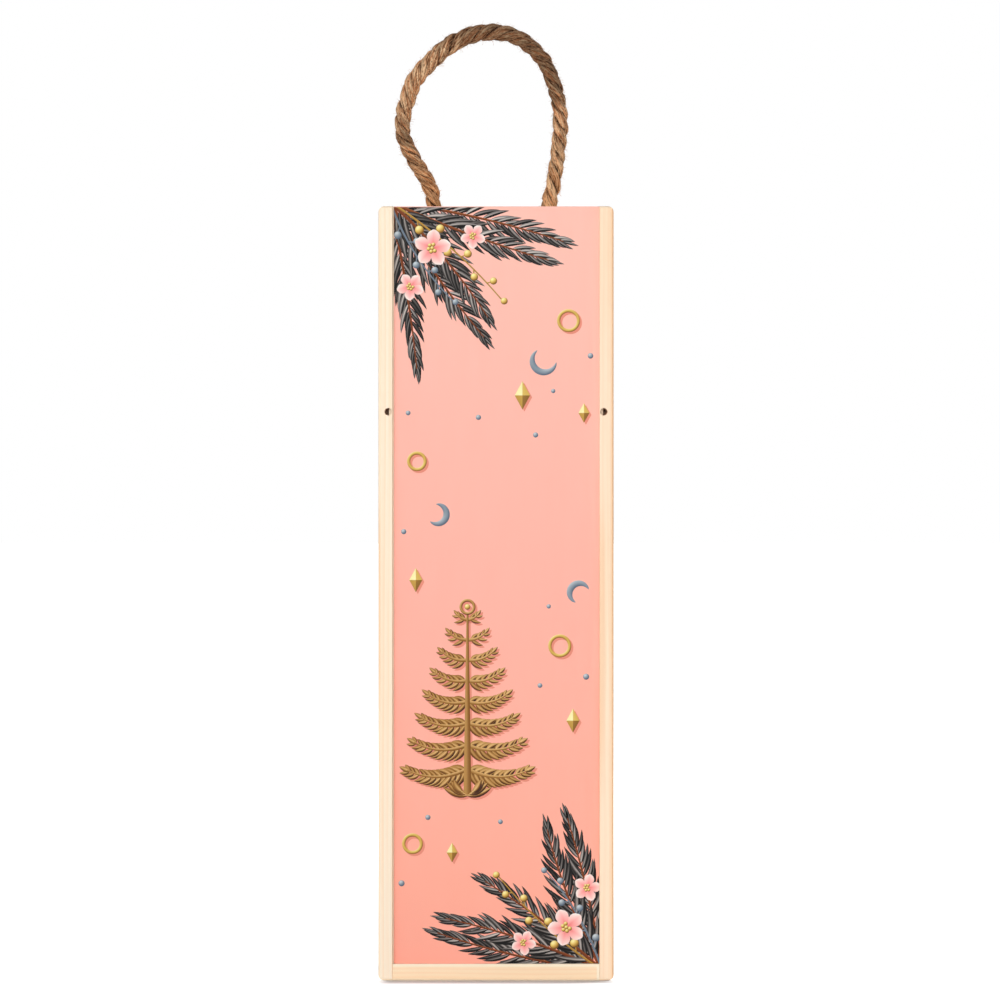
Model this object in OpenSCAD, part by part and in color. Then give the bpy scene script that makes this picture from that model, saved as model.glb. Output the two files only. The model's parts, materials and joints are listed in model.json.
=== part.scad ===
// A wooden box for one bottle, standing on its bottom end.
// Two long side boards, two end boards and a back panel are glued and nailed together.
// The front is a thin lid that slides up out of a groove, and a rope loop is the handle.
// Origin: the middle of the underside. +Z is up, and the lid faces -Y.

/* [Box] */
// Outer width across the two side boards
box_w = 107; // [100:1:130]
// Outer depth from the front edges to the back edges
box_d = 100; // [92:1:130]
// Outer height
box_h = 352; // [320:1:420]
// Round on the four corners that the front view shows
corner_r = 2.8; // [0.6:0.1:3.6]
// Round sanded on the front and back edges
arris_r = 1.2; // [0.4:0.1:2]

/* [Boards] */
// Thickness of each side board
side_t = 6.5; // [5.5:0.5:9]
// Thickness of the top and bottom end boards
end_t = 7.5; // [6:0.5:10]
// Small round on the inner edge of each front lip
lip_ease = 0.5; // [0.2:0.1:1]

/* [Sliding lid] */
// Thickness of the lid
lid_t = 4; // [3:0.5:6]
// Wood left in front of the lid
lip_t = 3; // [2:0.5:5]
// Depth of the grooves that hold the lid and the back panel
groove_deep = 2.2; // [1.4:0.1:3]
// Clearance on each face of the lid in its groove
lid_play = 0.2; // [0.1:0.05:0.4]
// Clearance at each side edge of the lid
lid_side_play = 0.5; // [0.2:0.1:0.8]
// Clearance under the lid when it is shut
lid_foot_play = 0.2; // [0.1:0.1:0.6]
// Chamfer round the back of the lid, so that it runs into its grooves
lid_chamfer = 0.8; // [0.3:0.1:1.4]

/* [Back panel] */
// Thickness of the back panel
panel_t = 4; // [3:0.5:6]
// Wood left behind the back panel
back_lip_t = 3; // [2:0.5:5]
// Glue gap all round the back panel
panel_gap = 0.05; // [0.05:0.05:0.2]

/* [Pin holes] */
// Diameter of the hole in each front lip
pin_hole_d = 3.4; // [2:0.2:4]
// Diameter of the tighter hole behind the lip
pin_pilot_d = 2.8; // [1.4:0.2:3]
// From the outer face of the side board to the hole's centre
pin_hole_in = 4.5; // [3.5:0.1:5]
// From the top of the box down to the hole's centre
pin_hole_drop = 93.5; // [40:0.5:160]
// Depth of the hole from the front edge
pin_hole_deep = 11.5; // [9:0.5:16]

/* [Brads] */
// Diameter of a brad's shank
brad_d = 1.4; // [1:0.1:1.8]
// Diameter of a brad's head
brad_head_d = 2.2; // [2:0.1:2.8]
// Thickness of a brad's head
brad_head_t = 0.8; // [0.5:0.1:1.2]
// Length of a brad
brad_l = 22; // [16:1:28]
// Length of a brad's point
brad_point = 2; // [1:0.5:3]
// How far a head is set below the wood
brad_set = 0.4; // [0.2:0.1:0.8]
// From the front or back edge to the nearest brad
brad_in = 22; // [16:1:30]
// Clearance round a brad in the wood
brad_fit = 0.03; // [0.02:0.01:0.05]

/* [Rope handle] */
// Diameter of the rope
rope_d = 6.6; // [5:0.2:8]
// Distance between the two rope holes
rope_holes_apart = 53.5; // [44:0.5:60]
// How far the pair of holes sits to the right of the middle
rope_holes_right = -2.25; // [-6:0.25:6]
// Clearance round the rope in its hole
rope_play = 0.5; // [0.3:0.1:1]
// Countersink at the mouth of each rope hole
rope_hole_ease = 0.8; // [0.3:0.1:1.5]
// Gap between the loop and the rope in the hole
loop_gap = 0.3; // [0.3:0.1:0.6]
// Width of a knot
knot_d = 17; // [14:0.5:19]
// Height of a knot
knot_h = 12; // [9:0.5:15]
// Clearance between a knot's turns and the rope inside it
knot_gap = 0.05; // [0.05:0.05:0.1]
// Length of the loose end below a knot
tail_l = 12; // [6:1:20]

/* [Hidden] */

$fn = 48;
tube_sides = 10;
eps = 0.01;

// Planes of the carcass
inner_w = box_w - 2 * side_t;
front_y = -box_d / 2;
back_y = box_d / 2;
groove_front_y = front_y + lip_t;
groove_back_y = groove_front_y + lid_t + 2 * lid_play;
panel_back_y = back_y - back_lip_t;
panel_front_y = panel_back_y - panel_t;
end_front_y = groove_back_y;

// The lid and the panel in their grooves
lid_w = inner_w + 2 * (groove_deep - lid_side_play);
lid_foot_z = end_t - groove_deep + lid_foot_play;
lid_h = box_h - lid_foot_z;
panel_w = inner_w + 2 * (groove_deep - panel_gap);
panel_foot_z = end_t - groove_deep + panel_gap;
panel_h = box_h - 2 * panel_foot_z;

// Brads: two through each end of each side board
brad_ys = [front_y + brad_in, back_y - brad_in];
top_brad_z = box_h - end_t / 2;
bottom_brad_z = end_t / 2;

// The rope
rope_r = rope_d / 2;
left_rope_x = rope_holes_right - rope_holes_apart / 2;
right_rope_x = rope_holes_right + rope_holes_apart / 2;
rope_hole_r = rope_r + rope_play;
knot_round = knot_h * 0.42;

// The loop's way from the left hole to the right one: [x, height over the top of the box]
loop_foot = rope_r + loop_gap;
loop_route = [[left_rope_x, loop_foot], [-31, 12], [-37.5, 23], [-42.5, 33], [-43.5, 42],
  [-41.5, 52], [-37.5, 62], [-29.5, 71], [-20, 78.5], [-8, 82.7], [4, 82.3], [14, 77.8],
  [22, 69.5], [26.7, 58.5], [29.3, 47.5], [29.5, 36], [28.2, 24], [26.3, 12],
  [right_rope_x, loop_foot]];
loop_last = len(loop_route) - 1;
cap_angles = [78, 52, 26];

// Colours
pine = "#F6DDBB";
pine_end = "#F3D2A6";
salmon = "#FFB5A3";
steel = "#B9BCC0";
jute = "#A97A50";

// A rectangle with round corners, from its lower left corner
module round_rect(w, h, r) {
  translate([r, 0]) square([w - 2 * r, h]);
  translate([0, r]) square([w, h - 2 * r]);
  for (x = [r, w - r])
    for (y = [r, h - r])
      translate([x, y]) circle(r);
}

// The outside of the whole box after sanding, which trims every board
module sanded_block() {
  intersection() {
    translate([-box_w / 2, back_y, 0])
      rotate([90, 0, 0])
        linear_extrude(box_d) round_rect(box_w, box_h, corner_r);
    translate([-box_w / 2, front_y, 0])
      linear_extrude(box_h) round_rect(box_w, box_d, arris_r);
    translate([-box_w / 2, front_y, 0])
      rotate([90, 0, 90])
        linear_extrude(box_w) round_rect(box_d, box_h, arris_r);
  }
}

// The shape that one brad fills, with its head at the origin and its point along +X.
// grow is the clearance round it, and out is how far the seat runs on past the head.
module brad_shape(grow, out) {
  rotate([0, 90, 0]) {
    translate([0, 0, -out]) cylinder(h = brad_head_t + out, d = brad_head_d + 2 * grow);
    cylinder(h = brad_l - brad_point + grow, d = brad_d + 2 * grow);
    translate([0, 0, brad_l - brad_point])
      cylinder(h = brad_point + grow, d1 = brad_d + 2 * grow, d2 = 0.3 + 2 * grow);
  }
}

// The brads through the left side board into one end board
module left_brads(z, grow, out) {
  for (y = brad_ys)
    translate([-box_w / 2 + brad_set, y, z]) brad_shape(grow, out);
}

// Every brad's seat, cut from the boards on both sides
module brad_seats() {
  for (side = [0, 1])
    mirror([side, 0, 0])
      for (z = [bottom_brad_z, top_brad_z])
        left_brads(z, brad_fit, brad_set + eps);
}

// The left side board's section from above: two grooves open towards the inside
module side_section() {
  inner = side_t - groove_deep;
  difference() {
    square([side_t, box_d]);
    translate([inner, lip_t])
      square([groove_deep + eps, lid_t + 2 * lid_play]);
    translate([inner, box_d - back_lip_t - panel_t - panel_gap])
      square([groove_deep + eps, panel_t + 2 * panel_gap]);
    difference() {
      translate([side_t - lip_ease, -eps]) square([lip_ease + eps, lip_ease + eps]);
      translate([side_t - lip_ease, lip_ease]) circle(lip_ease);
    }
  }
}

// The hole through the front lip, and the tighter one across the groove and into the board
module pin_hole() {
  translate([-box_w / 2 + pin_hole_in, front_y, box_h - pin_hole_drop])
    rotate([-90, 0, 0]) {
      translate([0, 0, -eps]) cylinder(h = lip_t + eps, d = pin_hole_d);
      cylinder(h = pin_hole_deep, d = pin_pilot_d);
    }
}

module side_board() {
  difference() {
    intersection() {
      translate([-box_w / 2, front_y, 0]) linear_extrude(box_h) side_section();
      sanded_block();
    }
    pin_hole();
    brad_seats();
  }
}

module left_side() {
  color(pine) side_board();
}

module right_side() {
  color(pine) mirror([1, 0, 0]) side_board();
}

// The groove for the back panel, cut across an end board from its inner face at z
module panel_groove(z) {
  translate([-inner_w / 2 - eps, panel_front_y - panel_gap, z])
    cube([inner_w + 2 * eps, panel_t + 2 * panel_gap, groove_deep + eps]);
}

// The bottom end stands between the sides, with a groove for the lid's foot
module bottom_end() {
  color(pine_end)
    difference() {
      intersection() {
        translate([-inner_w / 2, front_y, 0]) cube([inner_w, box_d, end_t]);
        sanded_block();
      }
      translate([-inner_w / 2 - eps, groove_front_y, end_t - groove_deep])
        cube([inner_w + 2 * eps, groove_back_y - groove_front_y, groove_deep + eps]);
      panel_groove(end_t - groove_deep);
      brad_seats();
    }
}

// A rope hole, eased at its upper mouth
module rope_hole(x) {
  translate([x, 0, box_h - end_t - eps]) cylinder(h = end_t + 2 * eps, r = rope_hole_r);
  translate([x, 0, box_h - rope_hole_ease])
    cylinder(h = rope_hole_ease + eps, r1 = rope_hole_r, r2 = rope_hole_r + rope_hole_ease + eps);
}

// The top end stops behind the lid, which slides up past it
module top_end() {
  color(pine_end)
    difference() {
      intersection() {
        translate([-inner_w / 2, end_front_y, box_h - end_t])
          cube([inner_w, back_y - end_front_y, end_t]);
        sanded_block();
      }
      translate([0, 0, -eps]) panel_groove(box_h - end_t);
      rope_hole(left_rope_x);
      rope_hole(right_rope_x);
      brad_seats();
    }
}

module back_panel() {
  color(pine)
    translate([-panel_w / 2, panel_front_y, panel_foot_z]) cube([panel_w, panel_t, panel_h]);
}

// The lid's section from above, with the back corners chamfered
module lid_section() {
  polygon([[-lid_w / 2, 0], [lid_w / 2, 0], [lid_w / 2, lid_t - lid_chamfer],
    [lid_w / 2 - lid_chamfer, lid_t], [-lid_w / 2 + lid_chamfer, lid_t],
    [-lid_w / 2, lid_t - lid_chamfer]]);
}

// The lid's section from the side, with a chamfer on the foot that goes into its groove
module lid_profile() {
  polygon([[0, 0], [lid_t - lid_chamfer, 0], [lid_t, lid_chamfer], [lid_t, lid_h], [0, lid_h]]);
}

module sliding_lid() {
  color(salmon)
    translate([0, groove_front_y + lid_play, lid_foot_z])
      intersection() {
        linear_extrude(lid_h) lid_section();
        translate([-lid_w / 2, 0, 0]) rotate([90, 0, 90]) linear_extrude(lid_w) lid_profile();
      }
}

module left_top_brads() {
  color(steel) left_brads(top_brad_z, 0, 0);
}

module left_bottom_brads() {
  color(steel) left_brads(bottom_brad_z, 0, 0);
}

module right_top_brads() {
  color(steel) mirror([1, 0, 0]) left_brads(top_brad_z, 0, 0);
}

module right_bottom_brads() {
  color(steel) mirror([1, 0, 0]) left_brads(bottom_brad_z, 0, 0);
}

// The loop stands in the plane Y = 0, so a ring needs only its heading in that plane
function heading(i) =
  let (d = loop_route[min(i + 1, loop_last)] - loop_route[max(i - 1, 0)]) d / norm(d);
function ring(centre, way, r) = [for (k = [0:tube_sides - 1])
  let (a = 360 * k / tube_sides, c = r * cos(a))
    [centre[0] - c * way[1], r * sin(a), centre[1] + c * way[0]]];
function cap(i, a, out) =
  ring(loop_route[i] + out * rope_r * sin(a) * heading(i), heading(i), rope_r * cos(a));
function fan(from, step) = [for (k = [0:tube_sides - 1]) from + (step > 0 ? k : tube_sides - 1 - k)];
function skin(rows) = [for (j = [0:rows - 2]) for (k = [0:tube_sides - 1])
  let (a = j * tube_sides, b = a + tube_sides, n = (k + 1) % tube_sides)
    each [[a + k, b + k, b + n], [a + k, b + n, a + n]]];

// The loop of rope with round ends, which turn in place when the handle leans
module rope_handle() {
  rings = [for (a = cap_angles) cap(0, a, -1),
    for (i = [0:loop_last]) ring(loop_route[i], heading(i), rope_r),
    for (a = [for (k = [len(cap_angles) - 1:-1:0]) cap_angles[k]]) cap(loop_last, a, 1)];
  rows = len(rings);
  color(jute)
    translate([0, 0, box_h])
      polyhedron([for (r = rings) each r],
        concat(skin(rows), [fan(0, 1), fan((rows - 1) * tube_sides, -1)]));
}

// The rope from the top of its hole, through its knot, to its loose end
module rope_end(x) {
  below = end_t + knot_h + tail_l;
  color(jute) translate([x, 0, box_h - below]) cylinder(h = below, r = rope_r);
}

// The turns of a stopper knot, drawn up against the underside of the top end
module rope_knot(x) {
  bore = rope_r + knot_gap;
  color(jute)
    translate([x, 0, box_h - end_t - knot_h])
      rotate_extrude()
        difference() {
          union() {
            square([knot_d / 2 - knot_round, knot_h]);
            translate([0, knot_round]) square([knot_d / 2, knot_h - 2 * knot_round]);
            for (z = [knot_round, knot_h - knot_round])
              translate([knot_d / 2 - knot_round, z]) circle(knot_round);
          }
          translate([-knot_d, -eps]) square([knot_d + bore, knot_h + 2 * eps]);
        }
}

module left_rope_end() {
  rope_end(left_rope_x);
}

module right_rope_end() {
  rope_end(right_rope_x);
}

module left_rope_knot() {
  rope_knot(left_rope_x);
}

module right_rope_knot() {
  rope_knot(right_rope_x);
}

left_side();
right_side();
bottom_end();
top_end();
back_panel();
sliding_lid();
left_top_brads();
left_bottom_brads();
right_top_brads();
right_bottom_brads();
rope_handle();
left_rope_end();
right_rope_end();
left_rope_knot();
right_rope_knot();
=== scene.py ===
# %% [markdown]
# # A wooden box for one bottle
# The box is five thin pine boards glued and nailed together, a printed lid that slides up out
# of a groove, and a loop of jute rope. OpenSCAD has already made every solid at its real size.
# This script gives each one the surface that the real thing has, and it works from the loaded
# frame, so no board is measured twice.

# %% Load the fixed frame
import json
import math

import bmesh
import bpy
import numpy as np
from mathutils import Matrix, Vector


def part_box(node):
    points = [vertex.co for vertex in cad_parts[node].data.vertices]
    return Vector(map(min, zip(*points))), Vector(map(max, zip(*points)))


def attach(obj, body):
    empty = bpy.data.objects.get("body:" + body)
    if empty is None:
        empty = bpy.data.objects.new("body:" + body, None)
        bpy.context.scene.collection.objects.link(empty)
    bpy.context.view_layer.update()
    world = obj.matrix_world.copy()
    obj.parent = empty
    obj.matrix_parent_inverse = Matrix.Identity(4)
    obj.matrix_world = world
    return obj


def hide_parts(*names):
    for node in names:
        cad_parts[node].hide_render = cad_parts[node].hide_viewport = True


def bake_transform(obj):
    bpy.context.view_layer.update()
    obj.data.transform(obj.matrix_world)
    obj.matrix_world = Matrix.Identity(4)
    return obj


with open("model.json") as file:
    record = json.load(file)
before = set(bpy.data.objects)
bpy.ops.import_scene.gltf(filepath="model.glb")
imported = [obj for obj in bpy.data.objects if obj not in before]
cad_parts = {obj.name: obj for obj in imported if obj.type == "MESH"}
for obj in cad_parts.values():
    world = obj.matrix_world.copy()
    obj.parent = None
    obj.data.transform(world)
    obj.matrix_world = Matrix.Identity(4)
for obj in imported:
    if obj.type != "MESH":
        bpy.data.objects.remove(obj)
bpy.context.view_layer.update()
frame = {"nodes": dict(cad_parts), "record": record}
MM = 0.001

left_low, left_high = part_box("left_side")
right_low, right_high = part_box("right_side")
lid_low, lid_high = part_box("sliding_lid")
FRONT_Y = left_low.y
BOX_TOP = left_high.z
LID_FACE = lid_low.y
print("box", [round(v / MM, 1) for v in (right_high.x - left_low.x, left_high.y - FRONT_Y, BOX_TOP)])

# %% [markdown]
# ## The camera
# The picture that we match looks straight at the front from far away, so nothing converges.
# A camera 3 m off with a long lens does that. Its lens follows from how much of the world
# should fit across the picture at the plane of the box's front edges.

# %% Camera
CAMERA_BACK = 3.0
VIEW_WIDE = 454.5 * MM
VIEW_CENTRE = Vector((1.8 * MM, FRONT_Y, 218.4 * MM))


def in_scene(name, data):
    """A new object that is linked into the scene."""
    made = bpy.data.objects.new(name, data)
    bpy.context.scene.collection.objects.link(made)
    return made


camera = in_scene("camera", bpy.data.cameras.new("camera"))
camera.data.lens = camera.data.sensor_width * CAMERA_BACK / VIEW_WIDE
camera.location = VIEW_CENTRE - Vector((0, CAMERA_BACK, 0))
camera.rotation_euler = (math.radians(90), 0, 0)
bpy.context.scene.camera = camera
print("lens", round(camera.data.lens, 1), "mm")

# %% [markdown]
# ## Small helpers for node trees
# Every tree below, for shaders and for geometry, is built by one function. It adds a node,
# sets its properties, and fills its sockets: a plain value is typed in, a socket is linked.
# The others are short names for the nodes that come up most, so a formula stays on one line. Most
# materials start in the same way and have a fine relief, so there are helpers for that as well.

# %% Node helper
def fill(tree, node, wires):
    """Links each named socket of a node to another socket, or types in a plain value."""
    for key, value in wires.items():
        if isinstance(value, bpy.types.NodeSocket):
            tree.links.new(value, node.inputs[key])
        else:
            node.inputs[key].default_value = value


def add(tree, kind, wires=None, **settings):
    """A new node, with its properties set and its sockets filled."""
    made = tree.nodes.new(kind)
    for key, value in settings.items():
        setattr(made, key, value)
    fill(tree, made, wires or {})
    return made


def sums(tree, operation, *values, clamp=False):
    """One Math node on up to three numbers or sockets."""
    wires = dict(enumerate(values))
    return add(tree, "ShaderNodeMath", wires, operation=operation, use_clamp=clamp).outputs[0]


def product(tree, value, *factors):
    """The product of any number of values, with one Math node for each factor after the first."""
    for factor in factors:
        value = sums(tree, "MULTIPLY", value, factor)
    return value


print("in Blender", bpy.app.version_string)

# %% Vector and colour helpers
def vectors(tree, operation, *values, out=0, **named_values):
    """One Vector Math node."""
    wires = {**dict(enumerate(values)), **named_values}
    return add(tree, "ShaderNodeVectorMath", wires, operation=operation).outputs[out]


def split(tree, vector):
    """The x, y and z of a vector."""
    return tuple(add(tree, "ShaderNodeSeparateXYZ", {0: vector}).outputs)


def hypotenuse(tree, a, b):
    """How far a point with two coordinates lies from the origin."""
    return sums(tree, "SQRT", sums(tree, "ADD", product(tree, a, a), product(tree, b, b)))


def mix_colours(tree, share, first, second):
    """One Mix Color node. Its colour sockets are its inputs 6 and 7, and the result is its output 2."""
    return add(tree, "ShaderNodeMix", {0: share, 6: first, 7: second}, data_type="RGBA").outputs[2]


def smooth_between(tree, value, low, high, to_low=0.0, to_high=1.0):
    """A value eased from one range to another."""
    wires = {"Value": value, "From Min": low, "From Max": high, "To Min": to_low, "To Max": to_high}
    return add(tree, "ShaderNodeMapRange", wires, interpolation_type="SMOOTHSTEP").outputs["Result"]


def linear(*srgb):
    """A colour as Blender's sockets want it, from the 0 to 255 that a screen shows."""
    parts = [v / 255 for v in srgb]
    return (*[v / 12.92 if v <= 0.04045 else ((v + 0.055) / 1.055) ** 2.4 for v in parts], 1.0)


print("a screen's 128 is", round(linear(128, 128, 128)[0], 3), "in a shader")

# %% Material helpers
def new_material(name):
    """A material, its node tree and its Principled BSDF."""
    made = bpy.data.materials.new(name)
    made.use_nodes = True
    return made, made.node_tree, made.node_tree.nodes["Principled BSDF"]


def own_place(tree):
    """Where a point lies in its object's own coordinates."""
    return add(tree, "ShaderNodeTexCoord").outputs["Object"]


def relief(tree, height, strength, depth):
    """The normal of a surface with a fine relief that is no part of the mesh."""
    return add(tree, "ShaderNodeBump", {"Strength": strength, "Distance": depth, "Height": height}).outputs[0]


print("materials so far:", len(bpy.data.materials))

# %% [markdown]
# ## The studio
# The background is plain white. The world and the floor are white only where the camera, a
# shiny surface or a clear one looks at them. For everything else the world is a dimmer light
# that fades from left to right, because in the picture the rope is bright on its left side and
# dark on its right. Light from a whole side of the sky shades the rope but casts no hard edge.

# %% World
SKY_LEFT, SKY_RIGHT = 0.60, 0.05
WHITE = (1, 1, 1, 1)


def sees_background(tree):
    """1 for camera, glossy and transmission rays, and 0 for the rays that only carry light."""
    rays = add(tree, "ShaderNodeLightPath").outputs
    seen = sums(tree, "MAXIMUM", rays["Is Camera Ray"], rays["Is Glossy Ray"])
    return sums(tree, "MAXIMUM", seen, rays["Is Transmission Ray"])


world = bpy.data.worlds.new("studio")
world.use_nodes = True
tree = world.node_tree
tree.nodes.clear()
across = split(tree, add(tree, "ShaderNodeTexCoord").outputs["Generated"])[0]
light = smooth_between(tree, across, -0.9, 0.9, SKY_LEFT, SKY_RIGHT)
strength = sums(tree, "MAXIMUM", sees_background(tree), light)
sky = add(tree, "ShaderNodeBackground", {"Color": WHITE, "Strength": strength})
add(tree, "ShaderNodeOutputWorld", {"Surface": sky.outputs[0]})
bpy.context.scene.world = world
bpy.context.scene.view_settings.view_transform = "Standard"
print("the sky lights the box with", SKY_LEFT, "from the left and", SKY_RIGHT, "from the right")

# %% [markdown]
# The floor is one large sheet that the box stands on. A whole sheet would lie in one plane with
# the box's underside, and the two would flicker through each other. So the sheet has a hole
# under the box, a little smaller than the box's foot: four quads between two rectangles.

# %% Floor mesh
FLOOR_REACH = 30
HOLE_IN_X, HOLE_IN_Y = 4 * MM, 2 * MM

outer, hole = (FLOOR_REACH, FLOOR_REACH), (right_high.x - HOLE_IN_X, left_high.y - HOLE_IN_Y)
turns = ((-1, -1), (1, -1), (1, 1), (-1, 1))
rims = [(x * wide, y * deep, 0) for wide, deep in (outer, hole) for x, y in turns]
quads = [(k, (k + 1) % 4, (k + 1) % 4 + 4, k + 4) for k in range(4)]
floor_mesh = bpy.data.meshes.new("floor")
floor_mesh.from_pydata(rims, [], quads)
floor = in_scene("floor", floor_mesh)
print("floor with a hole of", [round(2 * v / MM) for v in hole], "mm under the box")

# %% [markdown]
# The lamps light the floor, but not enough to look white beside a white sky, so the floor
# glows a little for the camera. A strip along the foot of the front has no glow, so the thin
# dark line of the contact shadow stays there, as in the picture. Two distances place the strip:
# how far a point lies before the front, and how far from a line just right of the middle. The
# line is off the middle because the light comes from the left.

# %% Floor paint
SHADE_FROM, SHADE_TO = 8 * MM, 27 * MM
SHADE_MIDDLE, SHADE_FULL, SHADE_END = 0.75 * MM, right_high.x - 5.25 * MM, right_high.x + 2.75 * MM
SHADE_BEHIND = 3 * MM
NEAR_GLOW, FAR_GLOW, FAR_FROM, FAR_TO = 0.72, 0.4, 0.1, 1.2

floor_paint, tree, _ = new_material("studio_floor")
tree.nodes.clear()
matt = add(tree, "ShaderNodeBsdfDiffuse", {"Color": (0.8, 0.8, 0.8, 1)})
place = own_place(tree)
x, y, _ = split(tree, place)
before_front = sums(tree, "SUBTRACT", FRONT_Y, y)
off_middle = sums(tree, "ABSOLUTE", sums(tree, "SUBTRACT", x, SHADE_MIDDLE))
strip = product(tree, smooth_between(tree, before_front, SHADE_FROM, SHADE_TO, 1, 0),
    smooth_between(tree, before_front, -SHADE_BEHIND, 0),
    smooth_between(tree, off_middle, SHADE_FULL, SHADE_END, 1, 0))
near = sums(tree, "MULTIPLY_ADD", strip, -NEAR_GLOW, NEAR_GLOW)
far = smooth_between(tree, vectors(tree, "LENGTH", place, out="Value"), FAR_FROM, FAR_TO, 0, FAR_GLOW)
strength = product(tree, sees_background(tree), sums(tree, "ADD", near, far))
glow = add(tree, "ShaderNodeEmission", {"Color": WHITE, "Strength": strength})
both = add(tree, "ShaderNodeAddShader", {0: matt.outputs[0], 1: glow.outputs[0]})
add(tree, "ShaderNodeOutputMaterial", {"Surface": both.outputs[0]})
floor_mesh.materials.append(floor_paint)
print("no glow for", round(SHADE_FROM / MM), "mm before the front, all of it after", round(SHADE_TO / MM))

# %% [markdown]
# Three square softboxes light the object. Two stand in front, since the print is lit evenly in
# the picture, and the weaker one is to the left. The third stands behind on the right. It hardly
# shows from the front, but it keeps the back and the sides of the box bright from other views.

# %% Lamps
def softbox(name, place, size, watts, target=(0, 0, 0.2)):
    """A square area lamp that faces the target."""
    lamp = bpy.data.lights.new(name, "AREA")
    lamp.size, lamp.energy = size, watts
    holder = in_scene(name, lamp)
    holder.location = place
    holder.rotation_euler = (Vector(target) - Vector(place)).to_track_quat("-Z", "Y").to_euler()


softbox("left", (-1.2, -3.1, 0.7), 1.2, 28)
softbox("front", (0.0, -3.6, 0.7), 1.6, 47)
softbox("back", (1.6, 2.0, 1.5), 1.4, 60)
print("softboxes:", ", ".join(lamp.name for lamp in bpy.data.lights))

# %% [markdown]
# ## Pine
# A board is cut out of a round log, so its figure is solid: growth rings run through it, show
# as near-straight lines along a face and as arcs on the end grain. An image could only be laid
# on from outside, and would break at every edge. So one shader group works the figure out from
# the board's own coordinates. First come its sockets, with the sizes that differ between boards.

# %% Pine group: sockets
def new_group(name, ins, outs, tree_type="ShaderNodeTree"):
    """A node group with its sockets, which are still unused, and the sockets that its insides read."""
    group = bpy.data.node_groups.new(name, tree_type)
    for title, kind, value in ins:
        socket = group.interface.new_socket(title, in_out="INPUT", socket_type=kind)
        if value is not None:
            socket.default_value = value
    for title, kind in outs:
        group.interface.new_socket(title, in_out="OUTPUT", socket_type=kind)
    return group, add(group, "NodeGroupInput").outputs


pine_group, given = new_group("pine_figure",
    [("Vector", "NodeSocketVector", None), ("Normal", "NodeSocketVector", None),
     ("Earlywood", "NodeSocketColor", None), ("Latewood", "NodeSocketColor", None),
     ("Ring Width", "NodeSocketFloat", 2.0 * MM), ("Warp", "NodeSocketFloat", 4 * MM),
     ("Ring Contrast", "NodeSocketFloat", 0.5), ("Fibre Contrast", "NodeSocketFloat", 0.6)],
    [("Color", "NodeSocketColor"), ("Height", "NodeSocketFloat"), ("Roughness", "NodeSocketFloat")])
print("pine group reads", [socket.name for socket in given if socket.name])

# %% [markdown]
# Distance from the pith, warped a little, gives the rings. Each ring is pale earlywood that
# darkens slowly and ends at a thin latewood line. No two years are alike, so a random number
# for each ring sets how dark its latewood grows.

# %% Pine group: rings
WARP_SCALE = (22, 22, 5)


def stretched_noise(tree, vector, scale, detail=2.0, rough=0.5):
    """Noise whose scale along each axis is given, in cycles a metre."""
    wires = {"Vector": vectors(tree, "MULTIPLY", vector, scale), "Scale": 1.0}
    return add(tree, "ShaderNodeTexNoise", {**wires, "Detail": detail, "Roughness": rough})


bend = stretched_noise(pine_group, given["Vector"], WARP_SCALE).outputs["Color"]
bend = vectors(pine_group, "SUBTRACT", bend, (0.5, 0.5, 0.5))
bend = vectors(pine_group, "SCALE", bend, Scale=given["Warp"])
x, y, _ = split(pine_group, vectors(pine_group, "ADD", given["Vector"], bend))
ring_number = sums(pine_group, "DIVIDE", hypotenuse(pine_group, x, y), given["Ring Width"])
in_ring = sums(pine_group, "FRACT", ring_number)
year = add(pine_group, "ShaderNodeTexWhiteNoise", {"W": sums(pine_group, "FLOOR", ring_number)},
    noise_dimensions="1D").outputs["Value"]
latewood = product(pine_group, smooth_between(pine_group, in_ring, 0.25, 0.9),
    smooth_between(pine_group, in_ring, 0.92, 1.0, 1.0, 0.0),
    smooth_between(pine_group, year, 0, 1, 0.45, 1.0))
print("rings take", len(pine_group.nodes), "nodes")

# %% [markdown]
# Three noises, stretched along the trunk, lie over the rings: fine fibres, wider streaks and
# broad patches. A face across the trunk is end grain, where the cut fibres drink in the light,
# so it is darker and rougher.

# %% Pine group: fibres and end grain
FIBRE_SCALE, STREAK_SCALE, PATCH_SCALE = (1500, 1500, 26), (330, 330, 7), (40, 40, 6)

fibres = stretched_noise(pine_group, given["Vector"], FIBRE_SCALE, detail=3, rough=0.6).outputs["Fac"]
streaks = stretched_noise(pine_group, given["Vector"], STREAK_SCALE).outputs["Fac"]
patches = stretched_noise(pine_group, given["Vector"], PATCH_SCALE).outputs["Fac"]
along_trunk = split(pine_group, given["Normal"])[2]
end_grain = smooth_between(pine_group, sums(pine_group, "ABSOLUTE", along_trunk), 0.75, 0.97)

ring_share = product(pine_group, latewood, given["Ring Contrast"])
fibre_share = sums(pine_group, "ADD", smooth_between(pine_group, fibres, 0.35, 0.75, 0, 0.35),
    smooth_between(pine_group, streaks, 0.35, 0.7, 0, 0.45))
fibre_share = product(pine_group, given["Fibre Contrast"], fibre_share)
patch_share = smooth_between(pine_group, patches, 0.35, 0.7, 0, 0.18)
late_share = sums(pine_group, "ADD", ring_share, fibre_share)
late_share = sums(pine_group, "ADD", late_share, patch_share, clamp=True)
wood = mix_colours(pine_group, late_share, given["Earlywood"], given["Latewood"])
wood = mix_colours(pine_group, product(pine_group, end_grain, 0.45), wood, given["Latewood"])

height = sums(pine_group, "ADD", product(pine_group, fibres, 0.6), product(pine_group, latewood, 0.4))
rough = smooth_between(pine_group, end_grain, 0, 1, 0.58, 0.74)
add(pine_group, "NodeGroupOutput", {"Color": wood, "Height": height, "Roughness": rough})
print("pine group:", len(pine_group.nodes), "nodes")

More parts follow.
